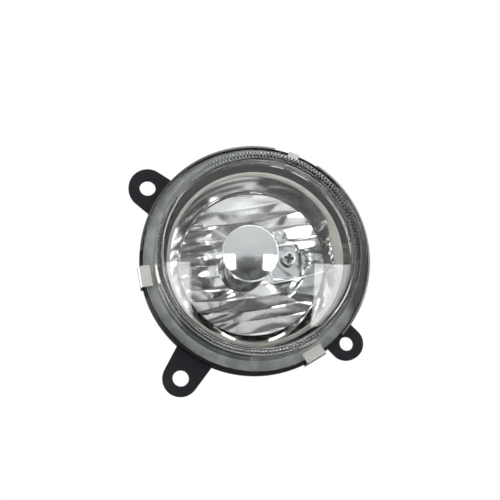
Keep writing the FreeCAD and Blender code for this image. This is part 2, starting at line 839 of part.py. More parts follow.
def make_bulb_filament():
    """The filament coil across the bulb's axis of light, on its two lead wires."""
    base_y = capsule_base_y() - capsule_pinch
    middle_y = base_y - filament_ahead
    coil = rod(filament_radius, middle_y - filament_length / 2, middle_y + filament_length / 2, optic)
    half = filament_lead_spacing / 2
    back_y = base_y
    front_y = middle_y - filament_length / 2 - filament_bridge_gap
    long_lead = rod(filament_lead, front_y, back_y, (optic_x + half, optic_z))
    short_lead = rod(filament_lead, middle_y + filament_length / 2, back_y, (optic_x, optic_z))
    bridge = block(optic_x - filament_lead, optic_x + half + filament_lead, front_y - filament_lead,
                   front_y + filament_lead, optic_z - filament_lead, optic_z + filament_lead)
    stub = rod(filament_lead, front_y, middle_y, optic)
    return coil.multiFuse([long_lead, short_lead, bridge, stub]).removeSplitter()


def make_pivot_cup(side):
    """A snap-in cup that carries one of the reflector's pivot pins, open to the front."""
    outer_x = shell_inner_radius - pad_height
    start = Vector(side * (outer_x - cup_length), pivot_y, 0)
    cup = Part.makeCylinder(cup_radius, cup_length, start, Vector(side, 0, 0))
    bore_start = Vector(side * (outer_x - cup_length - 1), pivot_y, 0)
    bore_radius = pivot_radius + pivot_clearance
    bore = Part.makeCylinder(bore_radius, cup_length + 1 - cup_floor, bore_start, Vector(side, 0, 0))
    half = cup_mouth / 2
    x_pair = sorted((side * (outer_x - cup_length - 1), side * (outer_x - cup_floor)))
    mouth = block(x_pair[0], x_pair[1], pivot_y - cup_radius - 1, pivot_y, -half, half)
    return cup.cut(bore.fuse(mouth)).removeSplitter()


def make_adjuster_bush():
    """The flanged bush in the rear wall's boss, in which the adjuster turns."""
    centre = (0.0, -adjuster_drop)
    back_y = rear_outer_y + adjuster_boss_length
    sleeve = rod(bush_radius, rear_inner_y, back_y, centre)
    flange = rod(bush_flange, back_y, back_y + bush_flange_thickness, centre)
    bore = rod(shank_radius + screw_clearance, rear_inner_y - 1, back_y + 3, centre)
    return sleeve.fuse(flange).cut(bore).removeSplitter()


def make_adjuster_screw():
    """The long screw that moves the reflector's ball nut: hexagon head, shank and thread."""
    centre = (0.0, -adjuster_drop)
    seat_y = rear_outer_y + adjuster_boss_length + bush_flange_thickness + retainer_gap
    tip_y = pivot_y - screw_tip_gap
    shank_start = rear_inner_y - retainer_gap - retainer_thickness - shank_shoulder
    thread = rod(screw_radius, tip_y, shank_start, centre)
    shank = rod(shank_radius, shank_start, seat_y, centre)
    flange = rod(adjuster_flange_radius, seat_y, seat_y + adjuster_flange_thickness, centre)
    head_y = seat_y + adjuster_flange_thickness
    corners = []
    for index in range(6):
        corners.append(polar(adjuster_head_across / math.sqrt(3), index * 60, head_y, centre))
    head = Part.Face(Part.makePolygon(corners + corners[:1])).extrude(Vector(0, adjuster_head_length, 0))
    body = thread.multiFuse([shank, flange, head])
    groove_y = rear_inner_y - retainer_gap - retainer_thickness
    groove = ring(shank_radius + 1, screw_radius, groove_y, groove_y + retainer_thickness, centre)
    end_y = head_y + adjuster_head_length
    half_slot = driver_slot_width / 2
    half_length = driver_slot_length / 2
    slot = block(-half_slot, half_slot, end_y - driver_slot_depth, end_y + 1,
                 -adjuster_drop - half_length, -adjuster_drop + half_length)
    return body.cut(groove.fuse(slot)).removeSplitter()


def make_adjuster_retainer():
    """The ring clip in the adjuster's groove, inside the rear wall."""
    groove_y = rear_inner_y - retainer_gap - retainer_thickness
    centre = (0.0, -adjuster_drop)
    body = ring(retainer_radius, screw_radius, groove_y, groove_y + retainer_thickness, centre)
    half = retainer_mouth / 2
    mouth = block(-half, half, groove_y - 1, groove_y + retainer_thickness + 1,
                  -adjuster_drop, -adjuster_drop + 2 * retainer_radius)
    return body.cut(mouth)


def make_adjuster_nut():
    """The ball nut that the adjuster's thread runs in and the reflector's socket holds."""
    centre = Vector(0, pivot_y, -adjuster_drop)
    ball = Part.makeSphere(ball_radius, centre)
    bore = rod(screw_radius + screw_clearance, pivot_y - 2 * ball_radius, pivot_y + 2 * ball_radius,
               (0, -adjuster_drop))
    return ball.cut(bore)


def make_rear_boot():
    """The rubber boot: grips the neck outside, folds back once and grips the holder ring."""
    outer = neck_outer_radius + neck_bead + boot_gap
    grip = holder_radius + boot_gap
    root = neck_inner_radius + boot_wall
    front_y = neck_back_y - boot_grip
    back_y = neck_back_y + boot_gap
    tip_y = back_y + boot_fold
    skirt = ring(outer + boot_wall, outer, front_y, back_y + boot_wall)
    plate = ring(outer + boot_wall, root - boot_wall / 2, back_y, back_y + boot_wall)
    cone_outer = boot_cone(root + boot_wall, (0.0, 0.0), grip + boot_wall + boot_tongue, optic, back_y, tip_y)
    cone_inner = boot_cone(root, (0.0, 0.0), grip + boot_tongue, optic, back_y, tip_y)
    tip = ring(grip + boot_wall + boot_tongue, grip, tip_y - boot_wall, tip_y, optic)
    sleeve = ring(grip + boot_wall, grip, holder_back_y - boot_grip, tip_y, optic)
    return skirt.multiFuse([plate, cone_outer.cut(cone_inner), tip, sleeve]).removeSplitter()


def boot_cone(start_radius, start_centre, end_radius, end_centre, start_y, end_y):
    """A skew cone between two circles that need not share an axis."""
    rings = []
    for radius, centre, y in ((start_radius, start_centre, start_y), (end_radius, end_centre, end_y)):
        circle = Part.makeCircle(radius, Vector(centre[0], y, centre[1]), Vector(0, 1, 0))
        rings.append(Part.Wire([circle]))
    return Part.makeLoft(rings, True, True)


def make_boot_clamp():
    """The band that clamps the boot to the housing neck, closed by a split lug."""
    inner = neck_outer_radius + neck_bead + boot_gap + boot_wall
    middle_y = neck_back_y - boot_grip / 2
    start = middle_y - clamp_width / 2
    band = ring(inner + clamp_thickness, inner, start, start + clamp_width)
    top = inner + clamp_lug_height
    half = clamp_lug_width / 2
    half_slot = clamp_slot / 2
    lug = block(inner + clamp_thickness / 4, top, start, start + clamp_width, -half, half)
    gap = block(inner - 1, top + 1, start - 1, start + clamp_width + 1, -half_slot, half_slot)
    return band.fuse(lug).cut(gap).removeSplitter()


def make_vent_membrane():
    """The breathable disc on the end of the vent tube."""
    spot = polar(vent_circle, vent_angle)
    start = rear_outer_y + vent_tube_length
    return rod(vent_tube_radius, start, start + vent_membrane_thickness, (spot.x, spot.z))


def make_vent_cap():
    """The splash cap that is pushed over the vent tube, open towards the front."""
    spot = polar(vent_circle, vent_angle)
    centre = (spot.x, spot.z)
    inner = vent_cap_radius - vent_cap_wall
    ceiling = rear_outer_y + vent_tube_length + vent_membrane_thickness + vent_cap_standoff
    front = rear_outer_y + vent_cap_gap
    cap = rod(vent_cap_radius, front, ceiling + vent_cap_wall, centre)
    cap = cap.cut(rod(inner, front - 1, ceiling, centre))
    ribs = []
    for angle in (0, 120, 240):
        rib = block(vent_tube_radius, inner + vent_cap_wall / 4, front, ceiling,
                    -vent_rib_width / 2, vent_rib_width / 2)
        rib.translate(Vector(centre[0], 0, centre[1]))
        ribs.append(turned(rib, angle, centre))
    return cap.multiFuse(ribs).removeSplitter()


nodes = {
    "housing": make_housing,
    "lens": make_lens,
    "lens_seal": make_lens_seal,
    "clip_left": lambda: make_clip(left_clip),
    "clip_lower": lambda: make_clip(lower_clip),
    "clip_upper": lambda: make_clip(upper_clip),
    "reflector": make_reflector,
    "bulb_shield": make_bulb_shield,
    "shield_screw": make_shield_screw,
    "bulb_holder": make_bulb_holder,
    "holder_screws": make_holder_screws,
    "bulb_base": make_bulb_base,
    "bulb_terminals": make_bulb_terminals,
    "bulb_seal": make_bulb_seal,
    "bulb_metal_base": make_bulb_metal_base,
    "bulb_glass": make_bulb_glass,
    "bulb_filament": make_bulb_filament,
    "pivot_cup_left": lambda: make_pivot_cup(-1),
    "pivot_cup_right": lambda: make_pivot_cup(1),
    "adjuster_bush": make_adjuster_bush,
    "adjuster_screw": make_adjuster_screw,
    "adjuster_retainer": make_adjuster_retainer,
    "adjuster_nut": make_adjuster_nut,
    "rear_boot": make_rear_boot,
    "boot_clamp": make_boot_clamp,
    "vent_membrane": make_vent_membrane,
    "vent_cap": make_vent_cap,
}

os.makedirs("parts", exist_ok=True)
for name, make in nodes.items():
    shape = make()
    shape.exportStep(os.path.join("parts", name + ".step"))
    box = shape.BoundBox
    print(name, "solids", len(shape.Solids), "valid", shape.isValid(), "volume", round(shape.Volume, 1),
          "y", round(box.YMin, 2), round(box.YMax, 2))
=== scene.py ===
import logging
import math
from collections.abc import Callable
from dataclasses import dataclass, field
from enum import Enum

import bpy
import numpy as np
from mathutils import Matrix, Vector


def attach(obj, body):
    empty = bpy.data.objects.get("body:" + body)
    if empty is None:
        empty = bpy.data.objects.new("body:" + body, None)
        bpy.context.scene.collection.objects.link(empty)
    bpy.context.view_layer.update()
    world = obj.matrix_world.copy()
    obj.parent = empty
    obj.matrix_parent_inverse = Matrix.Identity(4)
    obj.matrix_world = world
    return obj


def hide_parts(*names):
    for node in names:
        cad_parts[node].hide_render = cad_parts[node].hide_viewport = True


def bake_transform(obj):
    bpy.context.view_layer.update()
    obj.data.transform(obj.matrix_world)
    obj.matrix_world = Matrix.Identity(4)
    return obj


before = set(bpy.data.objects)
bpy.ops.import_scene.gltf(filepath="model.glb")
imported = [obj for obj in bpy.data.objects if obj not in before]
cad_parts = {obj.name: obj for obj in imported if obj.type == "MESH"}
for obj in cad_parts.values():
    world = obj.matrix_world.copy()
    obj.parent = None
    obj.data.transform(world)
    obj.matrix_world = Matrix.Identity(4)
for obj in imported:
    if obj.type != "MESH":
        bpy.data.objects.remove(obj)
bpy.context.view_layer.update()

log = logging.getLogger("fog_light")

MM = 0.001
Pair = tuple[float, float]
Triple = tuple[float, float, float]
Value = float | tuple[float, ...] | bpy.types.NodeSocket


class Body(Enum):
    """The bodies of the lamp that move against each other."""

    HOUSING = "housing"
    REFLECTOR = "reflector"
    BULB = "bulb"
    SCREW = "adjuster_screw"
    NUT = "adjuster_nut"


class Slot(Enum):
    """The record's material slots."""

    HOUSING = "housing_plastic"
    GLASS = "front_glass"
    SEAL = "seal_rubber"
    BOOT = "boot_rubber"
    SPRING = "spring_steel"
    MIRROR = "aluminised"
    SHIELD = "shield_chrome"
    ZINC = "zinc_screw"
    HOLDER = "holder_plastic"
    BULB = "bulb_plastic"
    QUARTZ = "bulb_quartz"
    STEEL = "bulb_steel"
    TUNGSTEN = "bulb_tungsten"
    TERMINAL = "terminal_metal"
    ORING = "oring_rubber"
    BEARING = "bearing_plastic"
    VENT = "vent_rubber"
    FABRIC = "vent_fabric"


# Surfaces


@dataclass
class Surface:
    """Points in millimetres, and faces of four corners. A face of three corners repeats one of them."""

    points: np.ndarray
    faces: np.ndarray

    def joined(self, *others: "Surface") -> "Surface":
        """This surface and others as one, with the corner numbers carried on.

        Args:
            others: the surfaces to add.

        Returns:
            One surface that holds them all.
        """
        parts = (self, *others)
        starts = np.cumsum([0] + [len(part.points) for part in parts[:-1]])
        points = np.concatenate([part.points for part in parts])
        faces = np.concatenate([part.faces + start for part, start in zip(parts, starts)])
        return Surface(points, faces)

    def welded(self) -> "Surface":
        """The surface with points that share a place made one, and faces without area dropped.

        Returns:
            A surface whose seams and poles are closed.
        """
        keys = np.round(self.points * 1e5).astype(np.int64)
        _, first, index = np.unique(keys, axis=0, return_index=True, return_inverse=True)
        faces = index.reshape(-1)[self.faces]
        ahead = np.roll(faces, -1, axis=1)
        corners = (faces != ahead).sum(axis=1)
        crossed = (faces[:, 0] == faces[:, 2]) | (faces[:, 1] == faces[:, 3])
        return Surface(self.points[first], faces[(corners >= 3) & ~(crossed & (corners < 4))])

    def outward(self) -> "Surface":
        """The closed surface with its faces turned outward: where the volume, which is the sum over
        its triangles of the corner vectors' triple product, is below zero, every face is reversed.

        Returns:
            A surface whose volume is above zero.
        """
        a, b, c, d = (self.points[self.faces[:, k]] for k in range(4))
        volume = (a * np.cross(b, c)).sum() + (a * np.cross(c, d)).sum()
        return self if volume > 0 else Surface(self.points, self.faces[:, ::-1])

def grid_faces(rows: int, columns: int, ring: bool = True, loop: bool = False) -> np.ndarray:
    """The faces of a grid of points that are numbered row after row.

    Args:
        rows: how many rows of points there are.
        columns: how many points each row has.
        ring: whether each row's end meets its start.
        loop: whether the last row meets the first.

    Returns:
        The faces as rows of four corner numbers.
    """
    row = np.arange(rows if loop else rows - 1)[:, None]
    column = np.arange(columns if ring else columns - 1)[None, :]
    next_row = (row + 1) % rows
    next_column = (column + 1) % columns
    corners = (row * columns + column, row * columns + next_column,
               next_row * columns + next_column, next_row * columns + column)
    return np.stack([corner.reshape(-1) for corner in corners], axis=1)


def rounded(corners: list[Triple], steps: int = 4) -> np.ndarray:
    """A closed line whose corners are rounded: each corner (a, b, reach) becomes the curve
    (1-t)^2 P + 2t(1-t) C + t^2 N from a point P before the corner C to a point N after it.

    Args:
        corners: the corners in order, each with how far its rounding reaches.
        steps: how many parts each rounding has.

    Returns:
        The line's points, one row each.
    """
    places = np.array([corner[:2] for corner in corners], float)
    reach = np.array([corner[2] for corner in corners], float)[:, None]
    back = np.roll(places, 1, axis=0) - places
    ahead = np.roll(places, -1, axis=0) - places
    start = places + back / np.linalg.norm(back, axis=1, keepdims=True) * reach
    end = places + ahead / np.linalg.norm(ahead, axis=1, keepdims=True) * reach
    t = np.linspace(0, 1, steps + 1)[None, :, None]
    curve = (1 - t) ** 2 * start[:, None] + 2 * t * (1 - t) * places[:, None] + t ** 2 * end[:, None]
    keep = np.ones((len(corners), steps + 1), bool)
    keep[reach[:, 0] <= 0, 1:] = False
    return curve[keep]


def revolve(profile: np.ndarray, columns: int, centre: Pair = (0.0, 0.0), loop: bool = True,
            lift: np.ndarray | None = None) -> Surface:
    """A profile of (radius, depth) turned about an axis along Y: the point at angle a is
    (x0 + r cos a, y, z0 + r sin a).

    Args:
        profile: the points of the profile, one row each.
        columns: how many steps one turn has.
        centre: where the axis stands, as (x, z).
        loop: whether the profile is closed.
        lift: how far each grid point's depth is raised, by profile point and column.

    Returns:
        The surface of revolution, with its poles closed.
    """
    angle = np.arange(columns) * 2 * math.pi / columns
    radius, depth = profile[:, :1], profile[:, 1:2]
    depth = depth + (0.0 if lift is None else lift)
    x = centre[0] + radius * np.cos(angle)
    z = centre[1] + radius * np.sin(angle)
    points = np.stack([x, np.broadcast_to(depth, x.shape), z], axis=2).reshape(-1, 3)
    return Surface(points, grid_faces(len(profile), columns, True, loop)).welded().outward()


def make_object(name: str, surface: Surface, smooth: float = 35.0) -> bpy.types.Object:
    """A mesh object at the origin, in metres, from a surface in millimetres.

    Args:
        name: the object's name.
        surface: its points and faces.
        smooth: the angle in degrees past which an edge stays sharp.

    Returns:
        The new object, linked to the scene.
    """
    faces = surface.faces
    same = faces == np.roll(faces, -1, axis=1)
    triangles = faces[same.any(axis=1)]
    keep = ~same[same.any(axis=1)]
    loops = np.concatenate([faces[~same.any(axis=1)].reshape(-1), triangles[keep].reshape(-1)])
    sizes = np.concatenate([np.full((~same.any(axis=1)).sum(), 4), np.full(len(triangles), 3)])
    mesh = bpy.data.meshes.new(name)
    mesh.vertices.add(len(surface.points))
    mesh.vertices.foreach_set("co", (surface.points * MM).astype(np.float32).reshape(-1))
    mesh.loops.add(len(loops))
    mesh.loops.foreach_set("vertex_index", loops.astype(np.int32))
    mesh.polygons.add(len(sizes))
    starts = np.concatenate([[0], np.cumsum(sizes)[:-1]])
    mesh.polygons.foreach_set("loop_start", starts.astype(np.int32))
    mesh.update(calc_edges=True)
    mesh.validate()
    mesh.polygons.foreach_set("use_smooth", np.ones(len(mesh.polygons), bool))
    mesh.set_sharp_from_angle(angle=math.radians(smooth))
    item = bpy.data.objects.new(name, mesh)
    bpy.context.scene.collection.objects.link(item)
    return item


# Finishes


@dataclass
class Graph:
    """One node tree, with short ways to add nodes and links to it."""

    tree: bpy.types.NodeTree

    @classmethod
    def group(cls, name: str, takes: dict[str, Value], gives: dict[str, str]) -> "Graph":
        """Makes a shader node group with named inputs and outputs.

        Args:
            name: the group's name.
            takes: its inputs, each with its value at first: a number, or a colour of four numbers.
            gives: its outputs, each with the end of its type's name.

        Returns:
            The group as a graph.
        """
        tree = bpy.data.node_groups.new(name, "ShaderNodeTree")
        for label, value in takes.items():
            kind = "NodeSocketFloat" if isinstance(value, float) else "NodeSocketColor"
            new = tree.interface.new_socket(name=label, in_out="INPUT", socket_type=kind)
            new.default_value = value
        for label, kind in gives.items():
            tree.interface.new_socket(name=label, in_out="OUTPUT", socket_type="NodeSocket" + kind)
        return cls(tree)

    def put(self, entry: bpy.types.NodeSocket, value: Value) -> None:
        """Links an input to an output, or sets it to a plain value.

        Args:
            entry: the input.
            value: the output or the plain value.
        """
        if isinstance(value, bpy.types.NodeSocket):
            self.tree.links.new(value, entry)
        else:
            entry.default_value = value

    def add(self, kind: str, *terms: Value, way: str = "", **values: Value) -> bpy.types.Node:
        """Adds a node and fills its inputs.

        Args:
            kind: its type's name, without ShaderNode in front.
            terms: values for its first inputs, in order.
            way: its operation, where it has one.
            values: values for inputs by name, with _ for a space.

        Returns:
            The node.
        """
        new = self.tree.nodes.new("ShaderNode" + kind)
        if way:
            new.operation = way
        for entry, value in zip(new.inputs, terms):
            self.put(entry, value)
        for name, value in values.items():
            self.put(new.inputs[name.replace("_", " ")], value)
        return new

    def math(self, way: str, *terms: Value, clamp: bool = False) -> bpy.types.NodeSocket:
        """Adds a sum or another operation on numbers.

        Args:
            way: the operation.
            terms: its terms.
            clamp: whether the result is kept between 0 and 1.

        Returns:
            The result.
        """
        new = self.add("Math", *terms, way=way)
        new.use_clamp = clamp
        return new.outputs[0]

    def mix(self, share: Value, first: Value, second: Value) -> bpy.types.NodeSocket:
        """Mixes two colours.

        Args:
            share: how much of the second colour there is.
            first: the first colour.
            second: the second colour.

        Returns:
            The mixed colour.
        """
        new = self.tree.nodes.new("ShaderNodeMix")
        new.data_type = "RGBA"
        for label, value in (("Factor", share), ("A", first), ("B", second)):
            self.put(new.inputs[label], value)
        return new.outputs["Result"]

    def ramp(self, place: Value, stops: tuple[Pair, ...]) -> bpy.types.NodeSocket:
        """Adds a ramp of greys.

        Args:
            place: where on the ramp the result is read.
            stops: each stop's place and grey.

        Returns:
            The grey at that place.
        """
        new = self.add("ValToRGB", place)
        elements = new.color_ramp.elements
        for index, (spot, grey) in enumerate(stops):
            element = elements[index] if index < 2 else elements.new(spot)
            element.position = spot
            element.color = (grey, grey, grey, 1.0)
        return new.outputs["Color"]

    def use(self, maker: Callable[[], bpy.types.NodeTree], values: dict[str, Value]) -> dict:
        """Adds a node group, which its maker builds the first time.

        Args:
            maker: the function that builds the group, named as the group is.
            values: values for its inputs.

        Returns:
            The group's outputs by name.
        """
        new = self.tree.nodes.new("ShaderNodeGroup")
        new.node_tree = bpy.data.node_groups.get(maker.__name__) or maker()
        for label, value in values.items():
            self.put(new.inputs[label], value)
        return dict(new.outputs.items())

    def start(self) -> dict:
        """Adds the group's input node.

        Returns:
            The group's inputs by name.
        """
        return dict(self.tree.nodes.new("NodeGroupInput").outputs.items())

    def finish(self, **values: Value) -> bpy.types.NodeTree:
        """Links values to the group's outputs.

        Args:
            values: a value for each output.

        Returns:
            The finished group.
        """
        end = self.tree.nodes.new("NodeGroupOutput")
        for label, value in values.items():
            self.put(end.inputs[label], value)
        return self.tree


def moulded_grain() -> bpy.types.NodeTree:
    """The skin of a moulded part: fine noise lifts the surface and changes its gloss a little, and a
    broad slow noise stands for flow marks. Gloss is g + c (broad / 2 + fine - 1/2).

    Returns:
        A group with the inputs Grain Size, Gloss and Change, and the outputs Height and Roughness.
    """
    graph = Graph.group("moulded_grain", {"Grain Size": 900.0, "Gloss": 0.4, "Change": 0.1},
                        {"Height": "Float", "Roughness": "Float"})
    start = graph.start()
    place = graph.add("TexCoord").outputs["Object"]
    fine = graph.add("TexNoise", Vector=place, Scale=start["Grain Size"], Detail=2.0).outputs["Fac"]
    broad = graph.add("TexNoise", Vector=place, Scale=60.0, Detail=3.0).outputs["Fac"]
    mixed = graph.math("MULTIPLY_ADD", broad, 0.5, fine)
    away = graph.math("SUBTRACT", mixed, 0.5)
    gloss = graph.math("MULTIPLY_ADD", away, start["Change"], start["Gloss"])
    return graph.finish(Height=fine, Roughness=gloss)


def handling_marks() -> bpy.types.NodeTree:
    """Thin dust and small scuffs: a fine noise cut off at a height gives specks, and they pull the
    surface's own colour towards a pale one.

    Returns:
        A group with the inputs Colour, Dust, Amount and Size, and the outputs Colour and Mask.
    """
    graph = Graph.group(
        "handling_marks",
        {"Colour": (0.5, 0.5, 0.5, 1.0), "Dust": (0.6, 0.58, 0.54, 1.0), "Amount": 0.1, "Size": 220.0},
        {"Colour": "Color", "Mask": "Float"})
    start = graph.start()
    place = graph.add("TexCoord").outputs["Object"]
    noise = graph.add("TexNoise", Vector=place, Scale=start["Size"], Detail=6.0, Roughness=0.7)
    specks = graph.add("MapRange", Value=noise.outputs["Fac"], From_Min=0.45, From_Max=0.75)
    mask = graph.math("MULTIPLY", specks.outputs["Result"], start["Amount"])
    return graph.finish(Colour=graph.mix(mask, start["Colour"], start["Dust"]), Mask=mask)


def uneven_fill_and_shade() -> bpy.types.NodeTree:
    """A soft material pressed into a gap: pale where it fills the gap, darker in random patches, and dark
    past a place on the X axis, which is painted shade on that side.

    Returns:
        A group with the inputs Pale, Dark, Start, Width and Patches, and the outputs Colour and Mask.
    """
    graph = Graph.group(
        "uneven_fill_and_shade",
        {"Pale": (0.4, 0.4, 0.4, 1.0), "Dark": (0.02, 0.02, 0.02, 1.0), "Start": 0.03, "Width": 0.01,
         "Patches": 0.5},
        {"Colour": "Color", "Mask": "Float"})
    start = graph.start()
    place = graph.add("TexCoord").outputs["Object"]
    across = graph.add("SeparateXYZ", place).outputs["X"]
    noise = graph.add("TexNoise", Vector=place, Scale=190.0, Detail=4.0)
    # Dark past the Start place on the X axis: painted shade on that side.
    past = graph.math("SUBTRACT", across, start["Start"])
    thin = graph.math("DIVIDE", past, start["Width"], clamp=True)
    patch = graph.add("MapRange", Value=noise.outputs["Fac"], From_Min=0.42, From_Max=0.62)
    some = graph.math("MULTIPLY", patch.outputs["Result"], start["Patches"])
    mask = graph.math("ADD", thin, some, clamp=True)
    return graph.finish(Colour=graph.mix(mask, start["Pale"], start["Dark"]), Mask=mask)


def drawn_lines() -> bpy.types.NodeTree:
    """The fine lines that rolling and drawing leave on sheet and strip: a noise stretched along Y
    changes the gloss and lifts the surface a little.

    Returns:
        A group with the inputs Gloss, Change and Fineness, and the outputs Height and Roughness.
    """
    graph = Graph.group("drawn_lines", {"Gloss": 0.3, "Change": 0.2, "Fineness": 1400.0},
                        {"Height": "Float", "Roughness": "Float"})
    start = graph.start()
    place = graph.add("TexCoord").outputs["Object"]
    stretched = graph.add("VectorMath", place, (1.0, 0.06, 1.0), way="MULTIPLY").outputs["Vector"]
    noise = graph.add("TexNoise", Vector=stretched, Scale=start["Fineness"], Detail=3.0).outputs["Fac"]
    away = graph.math("SUBTRACT", noise, 0.5)
    gloss = graph.math("MULTIPLY_ADD", away, start["Change"], start["Gloss"])
    return graph.finish(Height=noise, Roughness=gloss)


@dataclass(frozen=True)
class Finish:
    """One finish of the lamp, with the values that its material is built from. Change is how far the
    gloss varies, bump how high the grain stands in millimetres, and dust how strong the dust is. A
    drawn finish has fine lines instead of grain. A finish that darkens past a place on the X axis is
    dark past that place, a painted shade on that side, and there its dust is the strength of the
    darker patches."""

    slot: Slot
    colour: Triple
    roughness: float
    metallic: float = 0.0
    change: float = 0.08
    grain_size: float = 900.0
    bump: float = 0.0
    dust: float = 0.06
    transmission: float = 0.0
    refraction: float = 1.5
    specular: float = 0.5
    drawn: bool = False
    thin_past: float = 0.0
    thin_width: float = 5.0
    thin_colour: Triple = (0.03, 0.032, 0.033)
    tag: str = ""

    def material(self) -> bpy.types.Material:
        """The finish's material, built the first time that it is asked for.

        Returns:
            The material, named after the slot.
        """
        name = "fl_" + self.slot.value + self.tag
        found = bpy.data.materials.get(name)
        if found:
            return found
        made = bpy.data.materials.new(name)
        made.use_nodes = True
        shader = made.node_tree.nodes["Principled BSDF"]
        shader.inputs["Base Color"].default_value = (*self.colour, 1.0)
        shader.inputs["Metallic"].default_value = self.metallic
        shader.inputs["Roughness"].default_value = self.roughness
        shader.inputs["IOR"].default_value = self.refraction
        shader.inputs["Transmission Weight"].default_value = self.transmission
        shader.inputs["Specular IOR Level"].default_value = self.specular
        graph = Graph(made.node_tree)
        if self.change > 0:
            self.add_grain(graph, shader)
        if self.thin_past > 0:
            self.add_fill(graph, shader)
        elif self.dust > 0:
            self.add_marks(graph, shader)
        return made

    def add_grain(self, graph: Graph, shader: bpy.types.Node) -> None:
        """Puts the moulded grain, or the drawn lines of a sheet, into a material's roughness, and
        into its bump where it has one.

        Args:
            graph: the material's nodes.
            shader: its Principled node.
        """
        values = {"Gloss": self.roughness, "Change": self.change}
        if not self.drawn:
            values["Grain Size"] = self.grain_size
        grain = graph.use(drawn_lines if self.drawn else moulded_grain, values)
        graph.put(shader.inputs["Roughness"], grain["Roughness"])
        if self.bump > 0:
            bump = graph.add("Bump", Strength=1.0, Distance=self.bump * MM, Height=grain["Height"])
            graph.put(shader.inputs["Normal"], bump.outputs["Normal"])

    def add_marks(self, graph: Graph, shader: bpy.types.Node) -> None:
        """Puts thin dust over a material's colour.

        Args:
            graph: the material's nodes.
            shader: its Principled node.
        """
        marks = graph.use(handling_marks, {"Colour": (*self.colour, 1.0), "Amount": self.dust})
        graph.put(shader.inputs["Base Color"], marks["Colour"])

    def add_fill(self, graph: Graph, shader: bpy.types.Node) -> None:
        """Makes a material's colour uneven in random patches, and dark past a place on the X axis, as
        painted shade on that side.

        Args:
            graph: the material's nodes.
            shader: its Principled node.
        """
        fill_and_shade = graph.use(uneven_fill_and_shade, {
            "Pale": (*self.colour, 1.0), "Dark": (*self.thin_colour, 1.0), "Start": self.thin_past * MM,
            "Width": self.thin_width * MM, "Patches": self.dust})
        graph.put(shader.inputs["Base Color"], fill_and_shade["Colour"])


FINISHES = (
    Finish(Slot.HOUSING, (0.004, 0.004, 0.0065), 0.38, change=0.12, bump=0.02, dust=0.006, specular=0.2),
    Finish(Slot.GLASS, (0.965, 0.98, 0.972), 0.0, change=0.0, dust=0.0, transmission=1.0),
    # The seal goes dark past 34 mm on the X axis: painted shade on that side.
    Finish(Slot.SEAL, (0.55, 0.575, 0.56), 0.6, dust=0.35, thin_past=34.0),
    Finish(Slot.BOOT, (0.012, 0.012, 0.013), 0.62, bump=0.03, dust=0.02),
    Finish(Slot.SPRING, (0.66, 0.66, 0.63), 0.34, metallic=1.0, change=0.4, bump=0.003, drawn=True),
    Finish(Slot.MIRROR, (0.96, 0.96, 0.955), 0.07, metallic=1.0, change=0.0, dust=0.0),
    Finish(Slot.SHIELD, (0.66, 0.67, 0.69), 0.10, metallic=1.0, change=0.0, dust=0.0),
    Finish(Slot.ZINC, (0.66, 0.68, 0.70), 0.22, metallic=1.0, change=0.15),
    Finish(Slot.HOLDER, (0.014, 0.014, 0.016), 0.45, bump=0.01, dust=0.012),
    Finish(Slot.BULB, (0.02, 0.02, 0.022), 0.42, bump=0.01, dust=0.015),
    Finish(Slot.QUARTZ, (1.0, 1.0, 1.0), 0.0, change=0.0, dust=0.0, transmission=1.0, refraction=1.46),
    Finish(Slot.STEEL, (0.95, 0.95, 0.945), 0.1, metallic=1.0, change=0.0, dust=0.0),
    Finish(Slot.TUNGSTEN, (0.34, 0.34, 0.35), 0.35, metallic=1.0),
    Finish(Slot.TERMINAL, (0.70, 0.62, 0.42), 0.28, metallic=1.0),
    Finish(Slot.ORING, (0.30, 0.05, 0.03), 0.5),
    Finish(Slot.BEARING, (0.40, 0.39, 0.35), 0.45),
    Finish(Slot.VENT, (0.016, 0.016, 0.017), 0.55, dust=0.02),
    Finish(Slot.FABRIC, (0.66, 0.66, 0.65), 0.8, bump=0.03),
)
FINISH = {finish.slot: finish for finish in FINISHES}
# A darker zinc for the faces inside the screw's cross recess: painted shade.
RECESS_SHADE = Finish(Slot.ZINC, (0.05, 0.055, 0.06), 0.5, metallic=1.0, tag="_recess_shade")


def dress(item: bpy.types.Object, slot: Slot) -> bpy.types.Object:
    """Gives an object one finish, and names the slot that the finish stands for.

    Args:
        item: the object.
        slot: the finish's slot.

    Returns:
        The object.
    """
    item.data.materials.clear()
    item.data.materials.append(FINISH[slot].material())
    return item


def place_piece(item: bpy.types.Object, body: Body, slot: Slot, *nodes: str) -> bpy.types.Object:
    """Dresses a piece, lets it move with a body, and lets it stand for CAD nodes.

    Args:
        item: the piece.
        body: the body it moves with.
        slot: its finish.
        nodes: the CAD nodes that it stands for.

    Returns:
        The piece.
    """
    dress(item, slot)
    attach(item, body.value)
    if nodes:
        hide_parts(*nodes)
    faces = len(item.data.polygons)
    log.info("%s: %d faces, moves with %s", item.name, faces, body.value)
    return item


# The lamp's pieces


